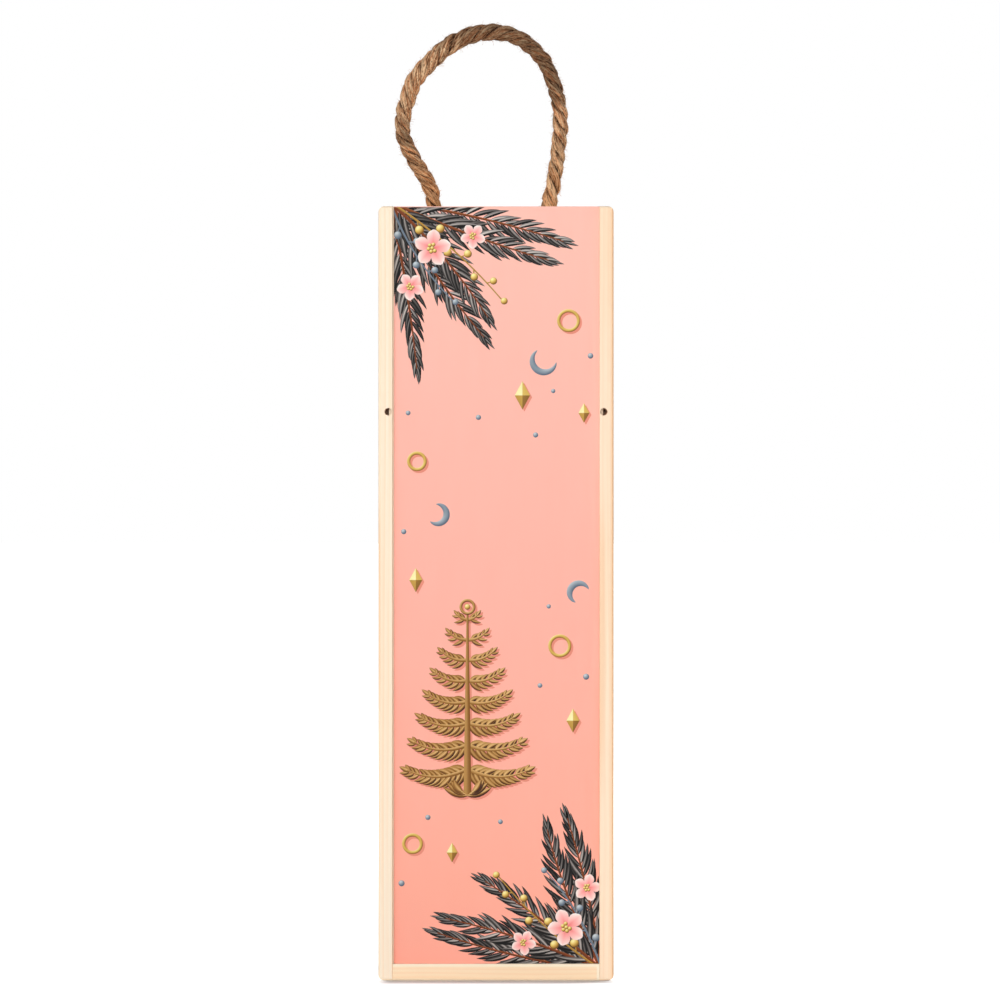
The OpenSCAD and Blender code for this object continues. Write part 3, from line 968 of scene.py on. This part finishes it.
# %% Gilded tree
def gilded_tree(foot, tall, wide):
    """A trunk, eight tiers of leafy boughs that lift at their tips, and a ring on top."""
    foot = np.array(foot, float)
    for tier in range(8):
        at = 0.14 + 0.79 * (tier / 7) ** 0.94
        reach = wide / 2 * (1 - at) ** 0.8 * 1.05 + 1.5
        for side in (1, -1):
            start = math.pi / 2 - side * math.radians(122 - 34 * at)
            bough(foot + (0, tall * at), start, side * math.radians(52), reach, 10.5 * (1.05 - 0.5 * at),
                2.9 * (1.05 - 0.45 * at), LAYER + (tier % 2) * 6 * STEP)
    trunk = np.linspace(foot, foot + (0, tall * 0.96), 30)
    band("gold", "old gold", trunk, 3.6, 0.9, LAYER + 12 * STEP, dark=0.2)
    top = foot + (0, tall * 0.96 + 3.2)
    hoop("gold", "old gold", top, 6.0, 1.3, LAYER + 12 * STEP)
    ball("gold", "gold", top, 2.6, LAYER + 13 * STEP, around=16)
    for side in (1, -1):
        for k in range(4):
            way = math.pi / 2 - side * math.radians(88 - 13 * k)
            leaf("gold", "old gold", foot + (side * k * 0.9, 0.6 * k), way, 12 - 1.8 * k, 3.0,
                LAYER + (13 + k) * STEP, bow=side * 0.6, dark=0.04)


first_clear = len(design["gold"]["verts"])
gilded_tree((-13, 84), 86, 58)
print("gilded tree:", len(design["gold"]["verts"]) - first_clear, "marks")

# %% [markdown]
# Small marks fill the rest: rings and lozenges in gold, and moons and beads in silver. A moon is
# a part of a ring whose wire tapers to both ends, and a lozenge has four flat facets.

# %% Small marks
def lozenge(sheet, ink, middle, wide, tall, height):
    """A diamond with four facets, each with its own shade."""
    tips = np.array([(wide / 2, 0), (0, tall / 2), (-wide / 2, 0), (0, -tall / 2), (wide / 2, 0)])
    for a, b, shade in zip(tips, tips[1:], (0.55, 0.95, 0.4, 0.12)):
        corner = np.array([[a, (a + b) / 2, b], [a * 0.01, a * 0, b * 0.01]]) + middle
        lay(sheet, ink, corner[::-1], np.array([[shade + 0.1] * 3, [shade] * 3]), height)


for x, z, across in ((33, 300, 9), (-36, 236, 7.5), (29, 152, 9), (-38, 62, 8)):
    hoop("gold", "gold", (x, z), across, 1.5, LAYER)
for x, z, wide, tall in ((12, 266, 7, 13), (40, 258, 5, 9), (-36.5, 182, 6, 11), (35, 118, 6, 11),
        (-20, 58, 5, 9)):
    lozenge("gold", "gold", np.array((x, z)), wide, tall, LAYER)
for x, z, across, turned in ((22, 282, 11, 2.2), (38, 176, 9, 0.4), (-27, 212, 9, 4.0)):
    hoop("silver", "silver", (x, z), across, 3.0, LAYER, share=0.62, turned=turned)
for x, z, across in ((43, 284, 2.6), (26, 268, 2.0), (-8, 256, 2.4), (-40, 258, 2.2), (20, 134, 2.2),
        (41, 138, 2.8), (-42, 204, 2.4), (24, 170, 2.0), (-31, 74, 2.4), (-43, 44, 2.8), (2, 72, 2.2),
        (18, 248, 2.4)):
    ball("silver", "silver", (x, z), across, LAYER, around=12)
print("marks:", {name: len(sheet["verts"]) for name, sheet in design.items()})

# %% [markdown]
# The gold marks that stand clear of the corners cast a soft-looking shadow in print, which is
# the same mark again in a darker salmon, shifted down and to the right. The copies lie below the
# first layer, each a little above the last.

# %% Printed shadows
SHADOW_SHIFT = np.array([0.9, 0, -0.9]) * MM

clear = range(first_clear, len(design["gold"]["verts"]))
base = 0
for n, k in enumerate(clear):
    grid = design["gold"]["verts"][k] + SHADOW_SHIFT
    grid[:, 1] = LID_FACE - (0.3 + 0.6 * n / len(clear)) * LAYER * MM
    faces = design["gold"]["faces"][k]
    design["shadow"]["verts"].append(grid)
    design["shadow"]["faces"].append(faces - faces.min() + base)
    design["shadow"]["inks"].append(np.tile(np.array(INKS["shadow"][0]) / 255, (len(grid), 1)))
    base += len(grid)
print("printed shadows:", len(clear))

# %% [markdown]
# Then each sheet of the design becomes one mesh, cut off at the edges of the print, as a print
# on a board is. Every point keeps its colour in an attribute of the mesh.

# %% Design meshes
CLEAR_OF_EDGE = 0.35 * MM
PRINT_EDGES = (((PRINT_LEFT, 0, 0), (-1, 0, 0)), ((PRINT_RIGHT, 0, 0), (1, 0, 0)),
    ((0, 0, lid_low.z + CLEAR_OF_EDGE), (0, 0, -1)), ((0, 0, lid_high.z - CLEAR_OF_EDGE), (0, 0, 1)))


def store(mesh, title, kind, values):
    """Keeps a value at every point of a mesh, for a node tree to read by its title."""
    field = {"FLOAT": "value", "FLOAT_VECTOR": "vector", "FLOAT_COLOR": "color"}[kind]
    made = mesh.attributes.new(title, kind, "POINT")
    made.data.foreach_set(field, values.astype(np.float32).ravel())


def design_mesh(name, sheet):
    """One sheet of the design as a mesh, with its colours, cut off at the print's edges."""
    verts, faces, inks = (np.concatenate(sheet[key]) for key in ("verts", "faces", "inks"))
    mesh = bpy.data.meshes.new(name)
    mesh.from_pydata(verts.tolist(), [], faces.tolist())
    colours = np.where(inks <= 0.04045, inks / 12.92, ((inks + 0.055) / 1.055) ** 2.4)
    store(mesh, "ink", "FLOAT_COLOR", np.column_stack([colours, np.ones(len(colours))]))
    work = bmesh.new()
    work.from_mesh(mesh)
    for point, outwards in PRINT_EDGES:
        whole = [*work.verts, *work.edges, *work.faces]
        bmesh.ops.bisect_plane(work, geom=whole, plane_co=point, plane_no=outwards, clear_outer=True)
    bmesh.ops.reverse_faces(work, faces=[face for face in work.faces if face.normal.y > 0])
    work.to_mesh(mesh)
    work.free()
    return mesh


print("print cut off", round(CLEAR_OF_EDGE / MM, 2), "mm inside the lid's foot and top")

# %% [markdown]
# An ink is a matt print whose colour is read back from the points. The metals are a little
# glossier than the other inks. All the sheets ride on the lid, so they slide with it.

# %% Inked sheets
for name, sheet in design.items():
    ink, tree, shader = matt_print("ink_" + name, 0.42 if name in ("gold", "silver") else 0.55)
    colour = add(tree, "ShaderNodeAttribute", attribute_name="ink").outputs["Color"]
    fill(tree, shader, {"Base Color": colour, "Specular IOR Level": 0.12})
    mark = show(design_mesh("print_" + name, sheet), "print_" + name, "lid", ink)
    print(mark.name, len(mark.data.polygons), "faces")

# %% [markdown]
# ## The rope's route
# The rope is one piece of 6.6 mm jute. It comes up out of the left hole, bows out, and drops
# into the right hole. The points are the same ones that the CAD follows, given in the plane of
# the two holes, and a spline runs smoothly through them.

# %% Route
ROPE_R = 3.3 * MM
LEFT_HOLE_X, RIGHT_HOLE_X = -29 * MM, 24.5 * MM
LOOP = [(-29, 3.6), (-31, 12), (-37.5, 23), (-42.5, 33), (-43.5, 42), (-41.5, 52), (-37.5, 62),
    (-29.5, 71), (-20, 78.5), (-8, 82.7), (4, 82.3), (14, 77.8), (22, 69.5), (26.7, 58.5),
    (29.3, 47.5), (29.5, 36), (28.2, 24), (26.3, 12), (24.5, 3.6)]
IN_HOLE = [-9, -5, -1]
FIBRE_STEP = 0.45 * MM


def spline(points, step):
    """Evenly spaced points on a Catmull-Rom spline through the given ones."""
    p = np.array(points, float)
    p = np.vstack([2 * p[0] - p[1], p, 2 * p[-1] - p[-2]])
    t = np.linspace(0, 1, 40, endpoint=False)[:, None]
    runs = [0.5 * (2 * b + (c - a) * t + (2 * a - 5 * b + 4 * c - d) * t**2 + (3 * b - a - 3 * c + d) * t**3)
        for a, b, c, d in zip(p, p[1:], p[2:], p[3:])]
    fine = np.vstack([*runs, p[-2:-1]])
    along = np.concatenate([[0], np.cumsum(np.linalg.norm(np.diff(fine, axis=0), axis=1))])
    at = np.linspace(0, along[-1], int(round(along[-1] / step)) + 1)
    return np.stack([np.interp(at, along, fine[:, k]) for k in range(3)], axis=1), at


route_points = ([(LEFT_HOLE_X, 0, BOX_TOP + z * MM) for z in IN_HOLE]
    + [(x * MM, 0, BOX_TOP + z * MM) for x, z in LOOP]
    + [(RIGHT_HOLE_X, 0, BOX_TOP + z * MM) for z in reversed(IN_HOLE)])
route, route_at = spline(route_points, FIBRE_STEP)
ROPE_LENGTH = float(route_at[-1])
print("rope from hole to hole", round(ROPE_LENGTH / MM, 1), "mm")

# %% [markdown]
# ## Twisted jute
# A sweep needs a frame at each point of its path, two directions that stay square to it. Carried
# from point to point they never twist, so all the twist of the rope is its own. Jute is never
# even either, so a smooth random field gives it lumps. It closes on itself round the section.

# %% Frames and lumps
def frames_along(path):
    """Tangents and two crossways directions carried along a path without twist."""
    tangent = np.gradient(path, axis=0)
    tangent /= np.linalg.norm(tangent, axis=1)[:, None]
    side = np.empty_like(path)
    start = np.cross(tangent[0], (0, 1, 0))
    side[0] = start / np.linalg.norm(start)
    for i in range(1, len(path)):
        v = side[i - 1] - tangent[i] * (side[i - 1] @ tangent[i])
        side[i] = v / np.linalg.norm(v)
    return tangent, side, np.cross(tangent, side)


def ease(f):
    """A share from 0 to 1, eased at both ends."""
    return f * f * (3 - 2 * f)


def lumps(rows, columns, coarse, seed):
    """A smooth random field from -1 to 1 over a sweep's rows and columns."""
    rng = np.random.default_rng(seed)
    knots = rng.uniform(-1, 1, (int(rows / coarse) + 3, 8))
    r = np.linspace(0, len(knots) - 1.001, rows)
    c = np.linspace(0, 8, columns, endpoint=False)
    r0, c0 = r.astype(int), c.astype(int)
    rf, cf = ease(r - r0)[:, None], ease(c - c0)[None]
    a, b = knots[r0][:, c0], knots[r0][:, (c0 + 1) % 8]
    d, e = knots[r0 + 1][:, c0], knots[r0 + 1][:, (c0 + 1) % 8]
    return (a * (1 - cf) + b * cf) * (1 - rf) + (d * (1 - cf) + e * cf) * rf


print("lumps over a short piece span", round(float(np.ptp(lumps(40, 8, 9, seed=1))), 2))

# %% [markdown]
# Three strands wind round each other, and each strand is itself a twist of yarns the other way.
# A sweep makes both. A strand's middle circles the route once in every 20 mm. Its section has
# soft lobes, the yarns, that turn the other way round it once in every 24 mm. Where a rope frays,
# its strands part and grow thin.

# %% One strand
LAY, YARN_LAY, YARNS = -20 * MM, 24 * MM, 8
STRAND_R, STRAND_OUT = 1.84 * MM, 1.9 * MM
FLAT_OUT, FLAT_ACROSS = 0.97, 1.12


def strand(k, path, at, frames, theta, shrink, plump, loose, wobble, seed):
    """Rings of points round strand k of a rope, with its lobes, the way that it runs and how far its
    yarns have turned."""
    tangent, side, other = frames
    turn = 2 * math.pi / LAY
    phi = turn * at + 2 * math.pi * k / 3 + 0.22 * wobble[:, k]
    out = np.cos(phi)[:, None] * side + np.sin(phi)[:, None] * other
    swirl = -np.sin(phi)[:, None] * side + np.cos(phi)[:, None] * other
    reach = STRAND_OUT * shrink * (plump + 0.05 * wobble[:, 3 + k] + 0.9 * loose**2)[:, None]
    run = tangent + turn * STRAND_OUT * swirl
    run /= np.linalg.norm(run, axis=1)[:, None]
    across = np.cross(run, out)
    turned = theta[None] - (2 * math.pi * at / YARN_LAY)[:, None]
    lobe = np.abs(np.cos(YARNS / 2 * (turned + 0.3 * k)))
    coarse, fine = lumps(len(at), len(theta), 9, seed + k), lumps(len(at), len(theta), 3, seed + 10 + k)
    radius = STRAND_R * shrink * (plump - 0.5 * loose**2)[:, None] * (0.92 + 0.08 * lobe**0.7
        + 0.12 * coarse + 0.10 * fine)
    section = (FLAT_OUT * np.cos(theta)[None, :, None] * out[:, None]
        + FLAT_ACROSS * np.sin(theta)[None, :, None] * across[:, None])
    return (path + reach * out)[:, None] + radius[..., None] * section, lobe, run, turned


print("strands are laid once in", abs(LAY) / MM, "mm and yarns once in", YARN_LAY / MM)

# %% [markdown]
# Values ride on the points for the material and for the stray fibres to read: the way round and
# along a strand for the streaks, how deep a point lies between the strands, a tone, the way that
# the fibres lie, and how hairy the place is.

# %% Rope mesh
def rope_mesh(name, path, at, seed, around=34, shrink=1.0, darker_by=0.0, loose_twist=0.0, fray=0.0):
    """Three strands of lobed yarn along a path, with the values that the jute material reads. shrink
    is its width as a share of the loop's, soiled is how much darker than usual a place is, and
    loose_twist how much thicker. Over the last stretch, fray metres long, the strands part and grow
    thin."""
    frames, count = frames_along(path), len(at)
    darker_by = np.broadcast_to(darker_by, count)
    plump = 1 + np.broadcast_to(loose_twist, count)
    loose = np.clip((at - at[-1] + fray) / fray, 0, 1) if fray else np.zeros(count)
    theta = np.linspace(0, 2 * math.pi, around, endpoint=False)
    wobble = lumps(count, 8, 16, seed + 50)
    i, j = np.meshgrid(np.arange(count - 1), np.arange(around), indexing="ij")
    verts, faces, fibre, depth, tone, lie = [], [], [], [], [], []
    for k in range(3):
        points, lobe, run, turned = strand(k, path, at, frames, theta, shrink, plump, loose, wobble, seed)
        a, b = (k * count + i) * around + j, (k * count + i) * around + (j + 1) % around
        faces += np.stack([a, b, b + around, a + around], axis=-1).reshape(-1, 4).tolist()
        verts.append(points.reshape(-1, 3))
        length = np.repeat(at[:, None] / MM * 0.2 + 40 * k, around, axis=1)
        fibre.append(np.stack([np.cos(turned) * 3, np.sin(turned) * 3, length], axis=-1).reshape(-1, 3))
        depth.append(np.clip(0.5 - 0.5 * (np.cos(theta)[None] + 0.5 * (1 - lobe)), 0, 1).ravel())
        tone.append((0.5 + 0.5 * lumps(count, around, 22, seed + 20 + k) - darker_by[:, None]).ravel())
        lie.append(np.repeat(run[:, None], around, axis=1).reshape(-1, 3))
    first_rings = [(k * count * around + np.arange(around)[::-1]).tolist() for k in range(3)]
    last_rings = [((k + 1) * count * around - around + np.arange(around)).tolist() for k in range(3)]
    mesh = bpy.data.meshes.new(name)
    mesh.from_pydata(np.vstack(verts).tolist(), [], [*faces, *first_rings, *last_rings])
    store(mesh, "fibre", "FLOAT_VECTOR", np.vstack(fibre))
    store(mesh, "lie", "FLOAT_VECTOR", np.vstack(lie))
    store(mesh, "depth", "FLOAT", np.concatenate(depth))
    store(mesh, "tone", "FLOAT", np.concatenate(tone))
    store(mesh, "fuzz", "FLOAT", np.tile(np.repeat(1 + 9 * loose, around), 3))
    mesh.shade_smooth()
    mesh.validate()
    return mesh


print("each point of a rope keeps its fibre, lie, depth, tone and fuzz")

# %% [markdown]
# Jute is a bundle of coarse fibres that reflect light very unevenly, so up close it is all
# streaks. The material takes noises in the strand's own coordinates, from a fine one to one that
# is wider than a yarn, all long and thin along the strand. Layer by layer a colour covers the ones
# below it, as far as a noise, the height or a value that the points keep says. The dark between
# strands comes last. It is painted as well as shaded, since light hardly reaches in there.

# %% Jute material
NEAR_BOX = linear(205, 135, 80)


def jute(name, light, mid, dark, rust):
    """Dull brown fibre: streaks along the yarns, dark between the strands, warmer near the box."""
    made, tree, shader = new_material(name)
    def stored(title, output="Fac"):
        """A value that the rope's points keep."""
        return add(tree, "ShaderNodeAttribute", attribute_name=title).outputs[output]
    def streak(scale, detail):
        """Noise that is long and thin along a strand."""
        return add(tree, "ShaderNodeTexNoise", {"Vector": stored("fibre", "Vector"), "Scale": scale,
            "Detail": detail, "Roughness": 0.65}).outputs["Fac"]
    fine, thick, clump, rusty = streak(5.5, 4.0), streak(1.1, 2.0), streak(0.35, 1.0), streak(0.7, 1.0)
    short = vectors(tree, "MULTIPLY", stored("fibre", "Vector"), (1, 1, 3.5))
    flecks = add(tree, "ShaderNodeTexNoise", {"Vector": short, "Scale": 1.5, "Detail": 2.0}).outputs["Fac"]
    up = split(tree, own_place(tree))[2]
    pale = sums(tree, "ADD", smooth_between(tree, fine, 0.3, 0.7, 0, 0.35),
        smooth_between(tree, thick, 0.4, 0.66, 0, 0.65))
    colour = mix_colours(tree, pale, mid, light)
    for value, low, high, to_low, to_high, over in (
            (rusty, 0.48, 0.62, 0.0, 0.55, rust), (up, BOX_TOP, BOX_TOP + 45 * MM, 0.45, 0.0, NEAR_BOX),
            (stored("tone"), 0.8, 1.5, 0.0, 0.5, light), (thick, 0.33, 0.48, 0.7, 0.0, dark),
            (clump, 0.35, 0.55, 0.4, 0.0, dark), (flecks, 0.3, 0.45, 0.8, 0.0, dark),
            (flecks, 0.6, 0.72, 0.0, 0.6, light), (stored("tone"), 0.0, 0.6, 0.6, 0.0, dark),
            (stored("depth"), 0.12, 0.5, 0.0, 0.92, dark)):
        colour = mix_colours(tree, smooth_between(tree, value, low, high, to_low, to_high), colour, over)
    height = sums(tree, "ADD", fine, product(tree, thick, 2.0))
    fill(tree, shader, {"Base Color": colour, "Normal": relief(tree, height, 0.9, 0.2 * MM),
        "Roughness": smooth_between(tree, fine, 0.3, 0.7, 0.85, 0.62), "Specular IOR Level": 0.04,
        "Sheen Weight": 0.02})
    return made


jute_twist = jute("jute_twist", linear(255, 220, 176), linear(186, 122, 78), linear(38, 16, 6),
    rust=linear(206, 120, 68))
print("jute:", len(jute_twist.node_tree.nodes), "nodes")

# %% [markdown]
# In the picture the rope isn't the same all along. Its twist has opened at the left shoulder, so
# it is thicker there and its middle has settled a little inwards. It is darker over the top and
# the right shoulder. Both feet, and a place below the left shoulder, are pale. Each of these is a
# soft hump or an eased step over the share of the rope's way from hole to hole.

# %% Rope loop
share = route_at / ROPE_LENGTH


def hump(middle, half_wide, power=2):
    """1 at one share of the rope's way, and little more than a third at half_wide from it."""
    return np.exp(-((share - middle) / half_wide) ** power)


def eased_step(low, high):
    """0 where the share is at low, and 1 where it is at high and beyond."""
    return ease(np.clip((share - low) / (high - low), 0, 1))


opened = hump(0.40, 0.16)
loose_twist = 0.17 * opened - 0.03 - 0.06 * eased_step(0.12, 0.0) + 0.09 * eased_step(0.9, 0.98)
# Darker over the top and the right shoulder, paler at both feet and below the left shoulder.
darker_by = 0.9 * hump(0.585, 0.155, power=4) + 0.3 * hump(0.15, 0.04)
darker_by -= 0.62 * eased_step(0.72, 0.84) + 0.3 * eased_step(0.12, 0.06)
darker_by -= 0.45 * hump(0.35, 0.07)
way = np.gradient(route, axis=0)
inward = np.column_stack([way[:, 2], 0 * share, -way[:, 0]])
inward /= np.linalg.norm(inward, axis=1)[:, None]
settled = route + 0.9 * MM * opened[:, None] * inward

rope_raw = rope_mesh("rope", settled, route_at, seed=3, darker_by=darker_by, loose_twist=loose_twist)
rope = show(rope_raw, "rope_loop", None, jute_twist)
print("rope", len(rope.data.polygons), "faces")

# %% [markdown]
# ## The knots
# Under the top board each end of the rope is tied in an overhand knot, so it can't pull out.
# A knot is hard to draw by hand but easy to pull tight in a few lines. The start is a known
# open knot, made from polynomials. Then, many times over, each point moves to the middle of
# its neighbours, as a rope under tension does, and points of different turns that are nearer
# than the rope is thick push each other away.

# %% Pulled knot
KNOT_SHRINK = 0.84


def pulled_knot(thick, rounds=700):
    """The middle line of an overhand knot, pulled tight along z round its own turns."""
    t = np.linspace(-2.35, 2.35, 150)[:, None]
    p = 1.15 * thick * np.hstack([t**4 - 4 * t**2 + 2, 0.2 * (t**5 - 10 * t), t**3 - 3 * t])
    p = p[:, [0, 2, 1]]
    first, second = np.triu_indices(len(p), 1)
    for _ in range(rounds):
        spacing = np.linalg.norm(np.diff(p, axis=0), axis=1).mean()
        other_turn = (second - first) * spacing > 1.5 * thick
        a, b = first[other_turn], second[other_turn]
        gap = p[b] - p[a]
        distance = np.linalg.norm(gap, axis=1)
        close = distance < thick
        a, b, gap, distance = a[close], b[close], gap[close], distance[close]
        push = 0.25 * (thick / distance - 1)[:, None] * gap
        move, count = np.zeros_like(p), np.ones(len(p))
        for which, sign in ((b, 1), (a, -1)):
            np.add.at(move, which, sign * push)
            np.add.at(count, which, 1)
        tension, stiffness = np.zeros_like(p), np.zeros_like(p)
        tension[1:-1] = 0.5 * (p[2:] + p[:-2]) - p[1:-1]
        stiffness[2:-2] = 4 * (p[3:-1] + p[1:-3]) - p[4:] - p[:-4] - 6 * p[2:-2]
        p = p + 0.35 * tension + 0.04 * stiffness + move / np.sqrt(count)[:, None]
        p[[0, -1], :2] *= 0.9
    return p


knot_line = pulled_knot(2 * ROPE_R * KNOT_SHRINK)
print("a pulled knot is", (np.ptp(knot_line[:, :2], axis=0) / MM).round(1), "mm wide at its middle line")

# %% [markdown]
# The rope is drawn a little thinner in the knots, as it is when it is pulled tight, and the
# pulled line is squeezed to the knot's size. KNOT_REACH is half the height of its turns before
# that, in rope widths, and it places the knot against the board. The path starts in the hole, runs
# through the knot and drops to the end of the tail, which frays.

# %% Knot meshes
KNOT_WIDE, KNOT_TALL, KNOT_REACH = 0.88, 0.52, 1.87
KNOT_FROM, TAIL_END = BOX_TOP - 6 * MM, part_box("left_rope_end")[0].z
TAIL_FRAY = 7 * MM
BOARD_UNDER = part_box("top_end")[0].z
KNOT_MIDDLE = BOARD_UNDER - KNOT_TALL * KNOT_REACH * 2 * ROPE_R * KNOT_SHRINK - ROPE_R * KNOT_SHRINK


def knot_path(x, turned):
    """The rope from inside its hole, through the knot that sits against the board, to the tail's end."""
    c, s = math.cos(turned), math.sin(turned)
    line = knot_line[::-1] if knot_line[0][2] < knot_line[-1][2] else knot_line
    bundle = np.stack([KNOT_WIDE * (c * line[:, 0] - s * line[:, 1]) + x,
        KNOT_WIDE * (s * line[:, 0] + c * line[:, 1]), KNOT_TALL * line[:, 2] + KNOT_MIDDLE], axis=1)
    inside = [p for p in bundle if TAIL_END < p[2] < BOARD_UNDER + MM]
    return spline([(x, 0, KNOT_FROM), *inside, (inside[-1][0], inside[-1][1], TAIL_END)], 0.6 * MM)


knots = []
for side, x, turned in (("left", LEFT_HOLE_X, 0.6), ("right", RIGHT_HOLE_X, -2.2)):
    path, at = knot_path(x, turned)
    mesh = rope_mesh(side + "_knot", path, at, seed=20 + len(knots), around=26, shrink=KNOT_SHRINK,
        fray=TAIL_FRAY)
    knot = show(mesh, side + "_stopper_knot", "box", jute_twist)
    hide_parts(side + "_rope_knot")
    knots.append(knot)
    print(side, "knot", round(float(at[-1]) / MM), "mm of rope, in", (np.ptp(path, axis=0) / MM).round(1))

# %% [markdown]
# ## Stray fibres
# The last thing that makes jute look like jute is its fuzz: thin fibres that stand off the
# twist. Thousands of them repeat one bent hair, so this is work for Geometry Nodes. Here are the
# tree's sockets, so that every piece of rope can ask for as many and as long fibres as it needs.

# %% Stray fibres: sockets
stray, given = new_group("stray_fibres",
    [("Geometry", "NodeSocketGeometry", None), ("Hairs a Square Metre", "NodeSocketFloat", 1.2e5),
     ("Shortest", "NodeSocketFloat", 0.8 * MM), ("Longest", "NodeSocketFloat", 4 * MM),
     ("Lift", "NodeSocketFloat", 0.7), ("Seed", "NodeSocketInt", 1),
     ("Material", "NodeSocketMaterial", None)],
    [("Geometry", "NodeSocketGeometry")], tree_type="GeometryNodeTree")
print("stray fibres read", [socket.name for socket in given if socket.name])

# %% [markdown]
# The hair is a bowed curve, about 1 m long, that tapers to its tip. It is that long so that the
# scale of a copy is its length. Three corners are enough for a section that is seen from afar.

# %% Stray fibres: one hair
bow = add(stray, "GeometryNodeCurveQuadraticBezier", {"Resolution": 4, "Start": (0, 0, 0),
    "Middle": (0, 0, 0.55), "End": (0.42, 0, 0.9)}).outputs[0]
along = add(stray, "GeometryNodeSplineParameter").outputs["Factor"]
taper = add(stray, "ShaderNodeMapRange", {"Value": along, "To Min": 1.0, "To Max": 0.35}).outputs["Result"]
bow = add(stray, "GeometryNodeSetCurveRadius", {"Curve": bow, "Radius": taper}).outputs[0]
ring = add(stray, "GeometryNodeCurvePrimitiveCircle", {"Resolution": 3, "Radius": 0.021}).outputs[0]
hair = add(stray, "GeometryNodeCurveToMesh", {"Curve": bow, "Profile Curve": ring}).outputs[0]
print("one hair takes", len(stray.nodes), "nodes, with the sockets")

# %% [markdown]
# Points are scattered over the rope's own surface, more of them where its points say that it is
# hairy. Some values come from the rope and some are random, so each has its own small helper.

# %% Stray fibres: scatter
def named(title, kind):
    """A value that is stored on the rope's points."""
    made = add(stray, "GeometryNodeInputNamedAttribute", {"Name": title}, data_type=kind)
    return next(o for o in made.outputs if o.enabled and o.name == "Attribute")


def drawn(low, high, seed, kind="FLOAT"):
    """A random value for each point. The node's output 0 is a vector, and its output 1 a number."""
    wires = {"Min": low, "Max": high, "Seed": seed}
    return add(stray, "FunctionNodeRandomValue", wires, data_type=kind).outputs[int(kind == "FLOAT")]


density = product(stray, named("fuzz", "FLOAT"), given["Hairs a Square Metre"])
scatter = add(stray, "GeometryNodeDistributePointsOnFaces", {"Mesh": given["Geometry"], "Density": density,
    "Seed": given["Seed"]}).outputs
print("scattered with", len(stray.nodes), "nodes so far")

# %% [markdown]
# A fibre that has worked loose leans along its strand and lifts off it, each in its own way. So
# the lean adds up the way that the strand runs, the surface's normal and a random vector. A turn
# round itself makes every copy bow to another side.

# %% Stray fibres: lean
stray_way = drawn((-0.45, -0.45, -0.45), (0.45, 0.45, 0.45), given["Seed"], "FLOAT_VECTOR")
off_face = vectors(stray, "SCALE", scatter["Normal"], Scale=given["Lift"])
lean = vectors(stray, "ADD", vectors(stray, "ADD", named("lie", "FLOAT_VECTOR"), off_face), stray_way)
pointed = add(stray, "FunctionNodeAlignRotationToVector", {"Vector": lean}, axis="Z").outputs[0]
spin = add(stray, "ShaderNodeCombineXYZ", {"Z": drawn(0.0, 2 * math.pi, 5)}).outputs[0]
spin = add(stray, "FunctionNodeEulerToRotation", {0: spin}).outputs[0]
pointed = add(stray, "FunctionNodeRotateRotation", {0: pointed, 1: spin}, rotation_space="LOCAL").outputs[0]
print("leaned with", len(stray.nodes), "nodes so far")

# %% [markdown]
# Most fibres are short and only a few are long, so the random share is raised to a power before
# it picks the length. The copies are made real at the end, so that they can be kept as a mesh.

# %% Stray fibres: copies made real
chance = sums(stray, "POWER", drawn(0.0, 1.0, 9), 2.5)
size = add(stray, "ShaderNodeMapRange", {"Value": chance, "To Min": given["Shortest"],
    "To Max": given["Longest"]}).outputs["Result"]
copies = add(stray, "GeometryNodeInstanceOnPoints", {"Points": scatter["Points"], "Instance": hair,
    "Rotation": pointed, "Scale": size}).outputs[0]
real = add(stray, "GeometryNodeRealizeInstances", {"Geometry": copies}).outputs[0]
real = add(stray, "GeometryNodeSetMaterial", {"Geometry": real, "Material": given["Material"]}).outputs[0]
add(stray, "NodeGroupOutput", {"Geometry": real})
print("stray fibre tree:", len(stray.nodes), "nodes")

# %% [markdown]
# The tree runs once on each piece of rope. The loop has more fibres than the knots and their
# tails, and shorter ones. The result is kept as a plain mesh.

jute_hair, tree, shader = new_material("jute_stray_fibre")
fill(tree, shader, {"Base Color": linear(205, 150, 104), "Roughness": 0.7})


def fuzz_for(piece, name, hairs, longest, seed):
    """The stray fibres of one piece of rope, as one plain mesh."""
    holder = in_scene(name, piece.data)
    fibres = holder.modifiers.new("stray fibres", "NODES")
    fibres.node_group = stray
    wanted = {"Hairs a Square Metre": hairs, "Longest": longest, "Seed": seed, "Material": jute_hair}
    for title, value in wanted.items():
        fibres[stray.interface.items_tree[title].identifier] = value
    return baked(holder, name)


loop_fuzz = show(fuzz_for(rope, "loop_fuzz", 5.5e5, 2.6 * MM, 4), "rope_loop_fuzz", None)
for i, knot in enumerate(knots):
    name = knot.name + "_fuzz"
    show(fuzz_for(knot, name, 1.2e5, 5 * MM, 6 + i), name, "box")

# %% [markdown]
# The loop leans while its ends stay in their holes. Here the loop and its fuzz get their placement
# baked into their meshes, and the CAD's own pieces of rope are hidden.

# %% Rope in place
for piece in (rope, loop_fuzz):
    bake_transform(piece)
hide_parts("rope_handle", "left_rope_end", "right_rope_end")
